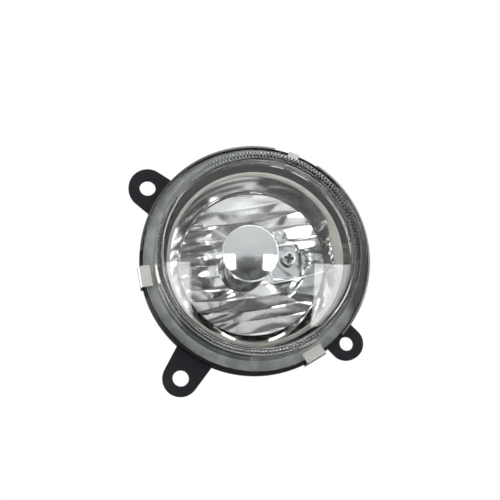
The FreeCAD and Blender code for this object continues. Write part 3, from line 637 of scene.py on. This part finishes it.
@dataclass
class FrontGlass:
    """The moulded front glass: seat flange, drum, beaded band and crowned window."""

    flange_radius: float = 45.4
    root_radius: float = 41.5
    front_radius: float = 40.7
    window_radius: float = 37.7
    inner_root: float = 39.1
    inner_front: float = 38.3
    inner_window: float = 37.85
    seat: float = -4.04
    flange: float = -7.0
    band: float = -23.0
    window: float = -21.8
    rise: float = 5.0
    wall: float = 2.4
    beads: int = 180
    bead_steps: int = 6
    bead_height: float = 1.2
    row_margin: float = 0.35
    row_points: int = 6
    groove: float = 0.3
    inner_row_drop: float = 0.12

    def crown(self, radius: float, base: float, steps: int) -> np.ndarray:
        """Half the arc of a crown, from its edge to its middle: depth is the base less the height of
        a sphere's cap over the point's radius.

        Args:
            radius: the crown's outer radius.
            base: the depth of its edge.
            steps: how many parts the arc has.

        Returns:
            The arc's points as (radius, depth).
        """
        sphere = (radius ** 2 + self.rise ** 2) / (2 * self.rise)
        across = radius * np.cos(np.linspace(0, math.pi / 2, steps + 1))
        across[-1] = 0.0
        return np.stack([across, base - self.rise + sphere - np.sqrt(sphere ** 2 - across ** 2)], axis=1)

    def profile(self) -> np.ndarray:
        """The glass's closed section, from the seat outward, over the band and the crown, and back
        inside. The band has an outer row, a groove and an inner row, which the beads then raise.

        Returns:
            The section's points as (radius, depth).
        """
        middle = (self.front_radius + self.window_radius) / 2
        outside = rounded([
            (self.inner_root, self.seat, 0.0),
            (self.flange_radius, self.seat, 0.25),
            (self.flange_radius, self.flange, 0.35),
            (self.root_radius, self.flange, 0.0),
        ], 4)
        row = np.linspace(self.front_radius - self.row_margin, middle + self.row_margin, self.row_points)
        low = np.linspace(middle + 0.1, self.window_radius + 0.65, self.row_points)
        outer = [(self.front_radius, self.band + 0.5), (self.front_radius - 0.1, self.band + 0.18)]
        band = [(radius, self.band) for radius in row]
        groove = [(middle + 0.2, self.band + self.groove)]
        inner = [(radius, self.band + self.inner_row_drop) for radius in low]
        edge = [(self.window_radius + 0.6, self.band + self.groove),
                (self.window_radius + 0.45, self.band + 0.04),
                (self.window_radius + 0.2, self.band),
                (self.window_radius, self.band + 0.15)]
        inside = rounded([
            (self.inner_window, self.window + self.wall, 0.0),
            (self.inner_front, self.window + self.wall, 0.35),
            (self.inner_root, self.seat, 0.0),
            (self.inner_root - 3, self.seat, 0.0),
        ], 3)[1:-2]
        return np.concatenate([
            outside, np.array(outer + band + groove + inner + edge),
            self.crown(self.window_radius - 0.05, self.window, 12),
            self.crown(self.inner_window, self.window + self.wall, 10)[::-1][:-1], inside])

    def lift(self, profile: np.ndarray) -> np.ndarray:
        """How far the beads raise each point: on both rows of the band the depth follows a
        half-wave, |sin(beads * a / 2)|, and the inner row is half a bead further round.

        Args:
            profile: the section's points.

        Returns:
            The change in depth, by profile point and column.
        """
        columns = self.beads * self.bead_steps
        angle = np.arange(columns) * 2 * math.pi / columns
        middle = (self.front_radius + self.window_radius) / 2
        radius, depth = profile[:, :1], profile[:, 1:2]
        on_band = (depth < self.band + 0.2) & (radius > self.window_radius + 0.61)
        outer = on_band & (radius > middle + 0.3) & (radius < self.front_radius - 0.2)
        inner = on_band & (radius < middle + 0.3)
        wave = np.abs(np.sin(self.beads * angle / 2))
        shifted = np.abs(np.sin(self.beads * angle / 2 + math.pi / 2))
        return self.bead_height * (outer * (0.5 - wave) + 0.7 * inner * (0.5 - shifted))

    def build(self) -> list[bpy.types.Object]:
        """Builds the glass in one piece.

        Returns:
            The glass.
        """
        profile = self.profile()
        surface = revolve(profile, self.beads * self.bead_steps, lift=self.lift(profile))
        item = make_object("front_glass", surface, 50)
        return [place_piece(item, Body.HOUSING, Slot.GLASS, "lens")]


@dataclass
class SealantRing:
    """The pale sealing ring under the glass: the ring on the shelf, and a thin skirt of it that was
    squeezed a little inward under the foot of the drum."""

    inner: float = 41.2
    shelf: float = 42.2
    outer: float = 45.35
    front: float = -3.98
    back: float = -2.82
    skirt: float = 0.7

    def build(self) -> list[bpy.types.Object]:
        """Builds the ring in one piece.

        Returns:
            The ring.
        """
        section = rounded([
            (self.inner, self.front, 0.1), (self.outer, self.front, 0.1), (self.outer, self.back, 0.1),
            (self.shelf, self.back, 0.1), (self.shelf - 0.4, self.front + self.skirt, 0.2),
            (self.inner, self.front + self.skirt, 0.2),
        ], 3)
        item = make_object("sealant_ring", revolve(section, 240))
        return [place_piece(item, Body.HOUSING, Slot.SEAL, "lens_seal")]


@dataclass
class MirrorBowl:
    """The bright skin of the reflector: steep wall, lip ring and horizontal flutes."""

    optic: Pair = (-3.0, 0.8)
    steep: Pair = (-0.5, -0.1)
    rim: float = -7.0
    end: float = 5.0
    vertex: float = 22.7
    focal: float = 13.5
    top_radius: float = 34.0
    low_radius: float = 29.5
    hole: float = 10.6
    skin_hole: float = 9.95
    pitch: float = 5.2
    step: float = 0.7
    skin: float = 0.12
    bulge: float = 0.12
    rows_each: int = 12
    columns: int = 120
    flat_reach: float = 31.9
    flat_angle: float = 0.04
    rim_radius: float = 35.5
    hole_end: float = 32.9
    foot_overlap: float = 0.6
    top_drop: float = 0.25

    def depth(self, x: np.ndarray, z: np.ndarray) -> np.ndarray:
        """The skin's depth: a paraboloid about the bulb's axis, every second flute sunk by a step,
        each flute bulged forward by h (1 - 4 t^2), where t runs from -1/2 to 1/2 across it.

        Args:
            x: places across.
            z: places up.

        Returns:
            The depths, in the shape of x and z.
        """
        across, up = x - self.optic[0], z - self.optic[1]
        flute = np.round(up / self.pitch)
        t = up / self.pitch - flute
        sunk = np.where(np.mod(flute, 2) == 0, self.step, 0.0)
        base = self.vertex - (across ** 2 + up ** 2) / (4 * self.focal)
        return base + sunk - 2 * self.skin - self.bulge * (1 - 4 * t ** 2)

    def heights(self) -> np.ndarray:
        """The heights of the grid's rows: evenly spread in each flute, doubled at each flute's edge,
        and closer together near the top and the bottom, where the round outline turns over.

        Returns:
            The heights, from the lowest up.
        """
        low = self.steep[1] - self.low_radius + 0.02
        high = self.steep[1] + self.low_radius - 0.02
        count = int(self.low_radius / self.pitch) + 2
        edges = self.optic[1] + (np.arange(-count, count) + 0.5) * self.pitch
        inside = edges[(edges > low + 0.3) & (edges < high - 0.3)]
        gap = 0.002
        fences = np.concatenate([[low], np.repeat(inside, 2) + np.tile([-gap, gap], len(inside)), [high]])
        lows, highs = fences[0::2], fences[1::2]
        share = np.linspace(0, 1, self.rows_each + 1)
        rows = lows[:, None] + (highs - lows)[:, None] * share[None, :]
        rows[0] = lows[0] + (highs[0] - lows[0]) * share ** 2
        rows[-1] = highs[-1] - (highs[-1] - lows[-1]) * (1 - share) ** 2
        return rows.reshape(-1)

    def flutes(self) -> Surface:
        """The fluted floor in two halves, left and right of the bulb's hole: along each row the
        places run evenly from the wall's circle to the hole's circle.

        Returns:
            The open floor.
        """
        z = self.heights()[:, None]
        share = np.linspace(0, 1, self.columns)[None, :]
        wall = np.sqrt(np.maximum(self.low_radius ** 2 - (z - self.steep[1]) ** 2, 0.0))
        hole = np.sqrt(np.maximum(self.skin_hole ** 2 - (z - self.optic[1]) ** 2, 0.0))
        halves = []
        for side in (-1, 1):
            start = self.steep[0] + side * wall
            end = self.optic[0] + side * hole
            x = start + (end - start) * share
            y = self.depth(x, np.broadcast_to(z, x.shape))
            points = np.stack([x, y, np.broadcast_to(z, x.shape)], axis=2).reshape(-1, 3)
            faces = grid_faces(len(z), self.columns, ring=False)
            halves.append(Surface(points, faces if side < 0 else faces[:, ::-1]))
        return halves[0].joined(halves[1])

    def lip_edge(self, angle: np.ndarray) -> np.ndarray:
        """The radius of the mirror's edge at the lip: the wall's circle, cut by a flat on one side,
        d / cos(a - a0), with a little waviness, a sum of sines, along the flat.

        Args:
            angle: the angles round the steep wall's axis.

        Returns:
            The radius at each angle.
        """
        turn = angle - self.flat_angle
        circle = self.top_radius - self.skin
        flat = np.where(np.cos(turn) > 0.3, self.flat_reach / np.maximum(np.cos(turn), 0.3), 99.0)
        ragged = 0.16 * np.sin(61 * angle) + 0.12 * np.sin(97 * angle + 1.3) + 0.1 * np.sin(23 * angle)
        return np.minimum(circle, flat + ragged * (flat < circle + 1.0))

    def lip(self) -> Surface:
        """The plain ring in front of the mirror's edge: at each angle a rounded section from the
        mirror's edge out to the reflector's rim.

        Returns:
            The closed ring.
        """
        columns = 720
        angle = np.arange(columns) * 2 * math.pi / columns
        cos, sin = np.cos(angle), np.sin(angle)
        edge = self.lip_edge(angle)
        inner = np.stack([self.steep[0] + edge * cos, self.steep[1] + edge * sin])
        outer = np.stack([self.rim_radius * cos, self.rim_radius * sin])
        share = np.array([0.0, 0.0, 0.06, 0.2, 0.5, 0.85, 0.97, 1.0, 1.0])[:, None]
        level = np.array([0.9, 0.12, 0.02, -0.1, -0.14, -0.1, 0.02, 0.2, 0.9])[:, None]
        x = inner[0] + (outer[0] - inner[0]) * share
        z = inner[1] + (outer[1] - inner[1]) * share
        y = np.broadcast_to(self.rim + level, x.shape)
        points = np.stack([x, y, z], axis=2).reshape(-1, 3)
        return Surface(points, grid_faces(len(share), columns, True, True)).outward()

    def hole_wall(self) -> Surface:
        """The bright inside of the bulb's hole, a short tube with a thin wall.

        Returns:
            The closed tube.
        """
        inner, outer = self.hole - self.skin - 0.02, self.hole - 0.02
        start = self.vertex - 0.6
        section = [(inner, start), (inner, self.hole_end), (outer, self.hole_end), (outer, start)]
        return revolve(np.array(section), 120, self.optic)

    def wall(self) -> Surface:
        """The steep wall, a cone from the lip down to the floor, whose foot follows the flutes:
        each column of the grid runs from the rim's circle to the floor's depth below it.

        Returns:
            The open wall.
        """
        columns = 720
        angle = np.arange(columns) * 2 * math.pi / columns
        cos, sin = np.cos(angle), np.sin(angle)
        foot_x = self.steep[0] + self.low_radius * cos
        foot_z = self.steep[1] + self.low_radius * sin
        foot = self.depth(foot_x, foot_z) + self.foot_overlap
        share = np.linspace(0, 1, 9)[:, None]
        top = self.rim + self.top_drop
        depth = top + (foot - top) * share
        taper = np.clip((depth - self.rim) / (self.end - self.rim), 0, 1)
        cut = (self.top_radius - self.skin - self.lip_edge(angle)) * (1 - share) ** 2
        radius = self.top_radius - self.skin + (self.low_radius - self.top_radius) * taper - cut
        x = self.steep[0] + radius * cos
        z = self.steep[1] + radius * sin
        points = np.stack([x, depth, z], axis=2).reshape(-1, 3)
        return Surface(points, grid_faces(9, columns))

    def build(self) -> list[bpy.types.Object]:
        """Builds the floor, the wall and the hole's inside in bright metal, and the plain lip.

        Returns:
            The four pieces.
        """
        made = []
        for name, surface in (("mirror_flutes", self.flutes()), ("mirror_wall", self.wall()),
                              ("mirror_hole", self.hole_wall())):
            item = make_object(name, surface, 30)
            made.append(place_piece(item, Body.REFLECTOR, Slot.MIRROR))
        made.append(place_piece(make_object("mirror_lip", self.lip(), 60), Body.REFLECTOR, Slot.BEARING))
        return made


@dataclass
class BulbShield:
    """The chromed cap ahead of the bulb: a crowned disc with a rolled edge and a short skirt, a leg
    down its side, and a foot plate with a raised edge that sits on the reflector."""

    centre: Pair = (-3.0, 0.8)
    radius: float = 11.1
    crown: float = 30.0
    rim: float = -18.0
    skirt: float = -14.0
    sheet: float = 0.8
    roll: float = 0.35
    leg_x: float = 7.0
    leg_half: float = 3.0
    foot: float = 11.19
    foot_end: float = 19.6
    foot_low: float = -7.7
    foot_high: float = 6.8
    hole: Pair = (15.6, 0.8)
    hole_radius: float = 1.3
    edge_height: float = 0.42
    wave: float = 0.10

    def cap(self) -> Surface:
        """The cap: its front is the arc of a sphere, y = y0 + R - sqrt(R^2 - r^2), and a quarter turn
        joins it to the skirt.

        Returns:
            The closed cap.
        """
        flat = self.radius - self.roll
        across = flat * np.sin(np.linspace(0, math.pi / 2, 25))
        sag = self.crown - math.sqrt(self.crown ** 2 - flat ** 2)
        apex = self.rim - sag + 0.02
        front = np.stack([across, apex + self.crown - np.sqrt(self.crown ** 2 - across ** 2)], axis=1)
        turn = np.linspace(0.35, math.pi / 2, 7)
        rolled = self.rim + self.roll * (1 - np.cos(turn))
        edge = np.stack([flat + self.roll * np.sin(turn), rolled], axis=1)
        back = [(self.radius, self.skirt), (self.radius - self.sheet, self.skirt),
                (self.radius - self.sheet, self.rim + 1.2)]
        inner = np.stack([across[::-1] * 0.96, front[::-1, 1] + self.sheet], axis=1)
        return revolve(np.concatenate([front, edge, np.array(back), inner]), 144, self.centre, loop=False)

    def leg(self) -> Surface:
        """The leg: a strip carried along a line that bends from the skirt to the foot, thinner and
        wider at each end.

        Returns:
            The closed strip.
        """
        share = np.linspace(0, 1, 25)
        y = self.skirt - 1.0 + (self.foot + 0.3 - self.skirt + 1.0) * share
        half = self.leg_half * (1.0 - 0.16 * np.sin(math.pi * share))
        x = np.full_like(y, self.leg_x + 0.06)
        z0 = self.centre[1]
        thick = self.sheet - 0.12
        ring = np.stack([np.stack([x, y, z0 - half], 1), np.stack([x + thick, y, z0 - half], 1),
                         np.stack([x + thick, y, z0 + half], 1), np.stack([x, y, z0 + half], 1)], axis=1)
        ends = np.array([[0, 1, 2, 3]])
        faces = np.concatenate([grid_faces(25, 4), ends[:, ::-1], ends + 96])
        return Surface(ring.reshape(-1, 3), faces).outward()

    def plate(self) -> Surface:
        """The foot plate: rows run from the screw's hole out to a rounded square, whose radius at
        angle a is (|cos a / w|^6 + |sin a / h|^6)^(-1/6); its edge stands a little forward and its
        face is gently waved, as pressed sheet is.

        Returns:
            The closed plate.
        """
        columns = 160
        angle = np.arange(columns) * 2 * math.pi / columns
        middle = np.array([(self.leg_x + self.foot_end) / 2, (self.foot_low + self.foot_high) / 2])
        wide = (self.foot_end - self.leg_x) / 2
        high = (self.foot_high - self.foot_low) / 2
        cos, sin = np.cos(angle), np.sin(angle)
        reach = (np.abs(cos / wide) ** 6 + np.abs(sin / high) ** 6) ** (-1 / 6)
        outer = np.stack([middle[0] + reach * cos, middle[1] + reach * sin])
        inner = np.stack([self.hole[0] + self.hole_radius * cos, self.hole[1] + self.hole_radius * sin])
        share = np.concatenate([np.linspace(0, 0.86, 14), np.linspace(0.88, 1.0, 8)])[:, None]
        x = inner[0] + (outer[0] - inner[0]) * share
        z = inner[1] + (outer[1] - inner[1]) * share
        edge = np.clip((share - 0.86) / 0.1, 0, 1)
        away = np.hypot(x - self.hole[0], z - self.hole[1])
        wave = self.wave * np.sin(0.9 * x + 0.7 * z) * np.clip((away - 3.0) / 2, 0, 1)
        raised = self.edge_height * edge * edge * (3 - 2 * edge) * np.clip((away - 3.2) / 1.5, 0, 1)
        front = self.foot + 0.02 - raised + wave * (1 - edge)
        back = front + self.sheet - 0.14
        points = np.concatenate([np.stack([x, front, z], axis=2), np.stack([x, back, z], axis=2)[::-1]])
        return Surface(points.reshape(-1, 3), grid_faces(len(points), columns, True, True)).outward()

    def build(self) -> list[bpy.types.Object]:
        """Builds the cap, the leg and the foot plate. The cap stands for the CAD node.

        Returns:
            The three pieces.
        """
        surfaces = {"shield_cap": self.cap(), "shield_leg": self.leg(), "shield_foot": self.plate()}
        made = []
        for name, surface in surfaces.items():
            nodes = () if made else ("bulb_shield",)
            made.append(place_piece(make_object(name, surface, 40), Body.REFLECTOR, Slot.SHIELD, *nodes))
        return made


@dataclass
class CrossScrew:
    """The cross-recess screw that holds the shield's foot: a smooth pan head on a plain shank."""

    centre: Pair = (15.6, 0.8)
    seat: float = 9.19
    head: float = 2.9
    height: float = 1.95
    shank: float = 1.25
    length: float = 5.0
    edge: float = 0.6
    crown: float = 0.35
    side: float = 0.75
    recess: float = 1.15
    arm: float = 1.85
    arm_width: float = 0.95
    arm_turn: float = 0.35

    def head_profile(self) -> np.ndarray:
        """The section from the middle of the head, over its rounded edge and down the shank. The head
        is crowned by a square law, and its edge is a quarter of an ellipse.

        Returns:
            The section's points as (radius, depth).
        """
        top = self.head - self.edge
        turn = np.linspace(0, math.pi / 2, 6)[1:]
        across = np.concatenate([np.linspace(0, top, 24), self.head - self.edge * (1 - np.sin(turn))])
        drop = self.crown * (across / self.head) ** 2
        fall = 1 - np.sqrt(1 - np.clip((across - top) / self.edge, 0, 1) ** 2)
        depth = self.seat - self.height + drop + (self.height - self.side) * fall
        front = np.stack([across, depth], axis=1)
        tip = self.seat + self.length
        back = np.array([(self.head, self.seat), (self.shank, self.seat), (self.shank, tip - 0.6),
                         (self.shank - 0.5, tip), (0.0, tip)])
        return np.concatenate([front, back])

    def build(self) -> list[bpy.types.Object]:
        """Builds the screw. The recess lowers each point of the head by d (1 - c) where c is how far
        the point lies outside a cross, cut off at 0 and 1; its faces get a darker second material,
        painted shade in the recess.

        Returns:
            The screw.
        """
        profile = self.head_profile()
        columns = 144
        angle = np.arange(columns) * 2 * math.pi / columns
        across = np.abs(profile[:, :1] * np.cos(angle + self.arm_turn))
        up = np.abs(profile[:, :1] * np.sin(angle + self.arm_turn))
        half = self.arm_width / 2
        level = np.maximum(across - self.arm, up - half)
        upright = np.maximum(up - self.arm, across - half)
        outside = np.minimum(level, upright)
        sunk = self.recess * (1 - np.clip(outside / 0.14, 0, 1)) * (profile[:, 1:2] < self.seat - 1.0)
        surface = revolve(profile, columns, self.centre, loop=False, lift=sunk)
        item = make_object("shield_screw_head", surface, 40)
        place_piece(item, Body.REFLECTOR, Slot.ZINC, "shield_screw")
        # The second material darkens the recess faces: painted shade.
        item.data.materials.append(RECESS_SHADE.material())
        centres = np.empty(len(item.data.polygons) * 3, np.float32)
        item.data.polygons.foreach_get("center", centres)
        place = centres.reshape(-1, 3) / MM
        flat = place[:, [0, 2]] - np.array(self.centre)
        recess_shade_faces = (place[:, 1] > self.seat - self.height + 0.65) & (np.hypot(flat[:, 0], flat[:, 1]) < 2.2)
        recess_shade_faces &= place[:, 1] < self.seat - 0.2
        item.data.polygons.foreach_set("material_index", recess_shade_faces.astype(np.int32))
        return [item]


@dataclass
class RearBoot:
    """The rubber boot in three pieces: a skirt on the neck, a wall with soft folds, and a sleeve on the
    holder ring."""

    neck: float = 26.3
    ring_radius: float = 16.82
    wall: float = 1.25
    front: float = 34.2
    back: float = 39.75
    tip: float = 42.05
    sleeve_front: float = 35.05
    optic: Pair = (-3.0, 0.8)

    def skirt(self) -> Surface:
        """The part that grips the neck: a rounded band with a flat back that reaches inward.

        Returns:
            The closed skirt.
        """
        r, w = self.neck, self.wall
        section = rounded([
            (r, self.front, 0.3), (r + w, self.front, 0.4), (r + w, self.back, 0.5),
            (23.8, self.back, 0.3), (23.8, self.back - w, 0.3), (r, self.back - w, 0.2),
        ], 4)
        return revolve(section, 144)

    def sleeve(self) -> Surface:
        """The part that grips the holder ring: a short tube that ends in a turned-out lip.

        Returns:
            The closed sleeve.
        """
        r, w = self.ring_radius, self.wall
        section = rounded([
            (r, self.sleeve_front, 0.2), (r + w, self.sleeve_front, 0.4), (r + w, self.tip - 1.3, 0.2),
            (r + w + 1.5, self.tip - 1.3, 0.3), (r + w + 1.5, self.tip, 0.4), (r, self.tip, 0.3),
        ], 4)
        return revolve(section, 144, self.optic)

    def fold(self) -> Surface:
        """The wall between them: its middle line runs from the skirt to the sleeve, its axis moves
        evenly from the neck's to the bulb's, and a sine gives it soft waves.

        Returns:
            The closed wall.
        """
        share = np.linspace(0, 1, 25)
        start, end = 24.6, self.ring_radius + self.wall + 0.9
        y0, y1 = self.back - 0.7, self.tip - 0.6
        radius = start + (end - start) * share
        depth = y0 + (y1 - y0) * share + 0.32 * np.sin(3 * math.pi * share)
        middle = np.stack([radius, depth], axis=1)
        slope = np.gradient(middle, axis=0)
        normal = np.stack([-slope[:, 1], slope[:, 0]], axis=1)
        normal = normal / np.linalg.norm(slope, axis=1, keepdims=True)
        section = np.concatenate([middle + 0.5 * normal, (middle - 0.5 * normal)[::-1]])
        drift = np.concatenate([share, share[::-1]])
        columns = 144
        angle = np.arange(columns) * 2 * math.pi / columns
        x = section[:, :1] * np.cos(angle) + self.optic[0] * drift[:, None]
        z = section[:, :1] * np.sin(angle) + self.optic[1] * drift[:, None]
        points = np.stack([x, np.broadcast_to(section[:, 1:2], x.shape), z], axis=2).reshape(-1, 3)
        return Surface(points, grid_faces(len(section), columns, True, True)).outward()

    def build(self) -> list[bpy.types.Object]:
        """Builds the skirt, the sleeve and the wall between them.

        Returns:
            The three pieces.
        """
        skirt = place_piece(make_object("boot_skirt", self.skirt()), Body.HOUSING, Slot.BOOT, "rear_boot")
        sleeve = place_piece(make_object("boot_sleeve", self.sleeve()), Body.REFLECTOR, Slot.BOOT)
        fold = dress(make_object("boot_fold", self.fold(), 60), Slot.BOOT)
        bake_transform(fold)
        return [skirt, sleeve, fold]


@dataclass
class Filament:
    """The bulb's wound filament: a fine coil along the bulb's axis."""

    centre: Pair = (-3.0, 0.8)
    start: float = 4.6
    end: float = 9.4
    radius: float = 0.62
    wire: float = 0.11
    turns: int = 13

    def build(self) -> list[bpy.types.Object]:
        """Builds the coil: a round wire carried along (r cos t, y0 + p t, r sin t).

        Returns:
            The coil.
        """
        steps, sides = self.turns * 16, 6
        t = np.linspace(0, 2 * math.pi * self.turns, steps + 1)
        away = np.stack([np.cos(t), np.zeros_like(t), np.sin(t)], axis=1)
        line = away * self.radius
        line[:, 1] = self.start + (self.end - self.start) * t / t[-1]
        line += np.array([self.centre[0], 0.0, self.centre[1]])
        turn = np.linspace(0, 2 * math.pi, sides, endpoint=False)[None, :, None]
        depth = np.array([0.0, 1.0, 0.0])
        tube = line[:, None] + self.wire * (np.cos(turn) * away[:, None] + np.sin(turn) * depth)
        faces = grid_faces(steps + 1, sides)
        caps = np.array([[0, 1, 2, 3], [0, 3, 4, 5]])
        last = steps * sides
        closed = np.concatenate([faces, caps[:, ::-1], caps + last])
        surface = Surface(tube.reshape(-1, 3), closed).outward()
        return [place_piece(make_object("filament_coil", surface, 80), Body.BULB, Slot.TUNGSTEN)]


@dataclass
class PlainNodes:
    """The CAD nodes that are shown as they are, each with its finish."""

    table: dict[str, Slot] = field(default_factory=lambda: {
        "housing": Slot.HOUSING,
        "clip_left": Slot.SPRING,
        "clip_lower": Slot.SPRING,
        "clip_upper": Slot.SPRING,
        "reflector": Slot.BEARING,
        "bulb_holder": Slot.HOLDER,
        "holder_screws": Slot.ZINC,
        "bulb_base": Slot.BULB,
        "bulb_terminals": Slot.TERMINAL,
        "bulb_seal": Slot.ORING,
        "bulb_metal_base": Slot.STEEL,
        "bulb_glass": Slot.QUARTZ,
        "bulb_filament": Slot.TUNGSTEN,
        "pivot_cup_left": Slot.BEARING,
        "pivot_cup_right": Slot.BEARING,
        "adjuster_bush": Slot.BEARING,
        "adjuster_screw": Slot.ZINC,
        "adjuster_retainer": Slot.SPRING,
        "adjuster_nut": Slot.BEARING,
        "boot_clamp": Slot.SPRING,
        "vent_membrane": Slot.FABRIC,
        "vent_cap": Slot.VENT,
    })

    def build(self) -> list[bpy.types.Object]:
        """Dresses each node that no other piece stands for.

        Returns:
            The nodes' objects.
        """
        return [dress(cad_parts[name], slot) for name, slot in self.table.items()]


# Studio


@dataclass
class Studio:
    """The camera, the floor, the lamps and the light that comes from all round. The heights give the
    surround's grey from straight below (0) to straight above (1), and the strip's depths give where
    its bright strip lies between the front (0) and the back (1)."""

    camera_place: Triple = (-66.4, -559.8, -87.3)
    aim: Triple = (-1.7, -7.0, 3.84)
    camera_up: Triple = (0.1392, 0.0, 0.9903)
    lens: float = 100.3
    floor_drop: float = 260.0
    heights: tuple[Pair, ...] = ((0.0, 0.10), (0.30, 0.03), (0.36, 0.035), (0.42, 0.14), (0.50, 0.20),
                                 (0.55, 0.80), (0.80, 0.95), (1.0, 1.0))
    strip_depths: tuple[Pair, ...] = ((0.0, 0.0), (0.44, 0.0), (0.47, 1.0), (0.66, 1.0), (0.74, 0.0))
    strip_power: float = 8.0
    roll: float = -8.0

    def axes(self) -> tuple[Vector, Vector, Vector]:
        """The camera's directions.

        Returns:
            Its right, up and backward directions.
        """
        back = (Vector(self.camera_place) - Vector(self.aim)).normalized()
        right = Vector(self.camera_up).cross(back).normalized()
        return right, back.cross(right), back

    def camera(self) -> None:
        """Sets up the camera at the photograph's viewing angle."""
        data = bpy.data.cameras.new("camera")
        data.lens = self.lens
        data.sensor_width = 36.0
        data.clip_start = 0.01
        data.clip_end = 100.0
        item = bpy.data.objects.new("camera", data)
        bpy.context.scene.collection.objects.link(item)
        right, up, back = self.axes()
        turn = Matrix((right, up, back)).transposed().to_4x4()
        item.matrix_world = Matrix.Translation(Vector(self.camera_place) * MM) @ turn
        bpy.context.scene.camera = item

    def panel(self, name: str, azimuth: float, elevation: float, width: float, height: float,
              power: float, distance: float = 1.6) -> None:
        """A flat soft light, turned to the lamp, placed by its direction as seen from the lamp.

        Args:
            name: the light's name.
            azimuth: degrees to the right of the direction to the front.
            elevation: degrees up.
            width: its width in degrees.
            height: its height in degrees.
            power: how bright its face is.
            distance: how far away it stands, in metres.
        """
        up = Vector(self.camera_up)
        right = Vector((up.z, 0, -up.x))
        a, e = math.radians(azimuth), math.radians(elevation)
        level = right * math.sin(a) + Vector((0, -1, 0)) * math.cos(a)
        way = level * math.cos(e) + up * math.sin(e)
        data = bpy.data.lights.new(name, "AREA")
        data.shape = "RECTANGLE"
        data.size = 2 * distance * math.tan(math.radians(width) / 2)
        data.size_y = 2 * distance * math.tan(math.radians(height) / 2)
        data.energy = power * data.size * data.size_y
        item = bpy.data.objects.new(name, data)
        bpy.context.scene.collection.objects.link(item)
        side = up.cross(way).normalized()
        turn = Matrix((side, way.cross(side), way)).transposed().to_4x4()
        item.matrix_world = Matrix.Translation(way * distance) @ turn

    def surround(self) -> None:
        """The light from all round: by the direction's height a pale grey above, a darker grey in the
        middle and near black below, with a bright strip at the upper right, just behind the lamp. The
        camera itself sees white."""
        world = bpy.data.worlds.new("surround")
        bpy.context.scene.world = world
        world.use_nodes = True
        world.node_tree.nodes.clear()
        graph = Graph(world.node_tree)
        way = graph.add("TexCoord").outputs["Generated"]
        roll = (0.0, math.radians(self.roll), 0.0)
        turned = graph.add("Mapping", Vector=way, Rotation=roll).outputs["Vector"]
        parts = graph.add("SeparateXYZ", turned).outputs
        height = graph.add("MapRange", Value=parts["Z"], From_Min=-1.0).outputs["Result"]
        depth = graph.add("MapRange", Value=parts["Y"], From_Min=-1.0).outputs["Result"]
        side = graph.add("VectorMath", turned, (0.78, 0.0, 0.62), way="DOT_PRODUCT").outputs["Value"]
        flank = graph.add("MapRange", Value=side, From_Min=0.30, From_Max=0.45).outputs["Result"]
        strip = graph.math("MULTIPLY", graph.ramp(depth, self.strip_depths), flank)
        bright = (self.strip_power, self.strip_power, self.strip_power, 1.0)
        light = graph.mix(strip, graph.ramp(height, self.heights), bright)
        seen = graph.add("LightPath").outputs["Is Camera Ray"]
        final = graph.mix(seen, light, (1.0, 1.0, 1.0, 1.0))
        glow = graph.add("Background", Color=final)
        graph.add("OutputWorld", Surface=glow.outputs["Background"])

    def floor(self) -> None:
        """A plain pale floor below the lamp, which its own mounting holds up."""
        side = 3000.0
        corners = np.array([(-side, -side), (side, -side), (side, side), (-side, side)])
        points = np.column_stack([corners, np.full(4, -self.floor_drop)])
        item = make_object("floor", Surface(points, np.array([[0, 1, 2, 3]])))
        pale = bpy.data.materials.new("floor_pale")
        pale.use_nodes = True
        shader = pale.node_tree.nodes["Principled BSDF"]
        shader.inputs["Base Color"].default_value = (0.85, 0.85, 0.85, 1.0)
        shader.inputs["Roughness"].default_value = 0.9
        item.data.materials.append(pale)
        item.visible_glossy = False
        item.visible_transmission = False

    def build(self) -> None:
        """Sets up everything round the lamp."""
        bpy.context.scene.view_settings.view_transform = "Standard"
        self.camera()
        self.surround()
        self.floor()
        self.panel("window_left", -28.5, -5.0, 19, 22, 19.0)
        self.panel("window_right", 35.5, -5.0, 21, 22, 17.0)
        self.panel("side_left", -86, 12, 46, 80, 9.0)
        self.panel("side_right", 84, 10, 46, 80, 8.0)
        self.panel("top_soft", 0, 72, 70, 36, 13.0)


def main() -> None:
    logging.basicConfig(level=logging.INFO, format="%(message)s")
    makers = (FrontGlass(), SealantRing(), MirrorBowl(), BulbShield(), CrossScrew(), Filament(),
              RearBoot(), PlainNodes())
    for maker in makers:
        pieces = maker.build()
        log.info("%s: %d pieces", type(maker).__name__, len(pieces))
    Studio().build()


if __name__ == "__main__":
    main()
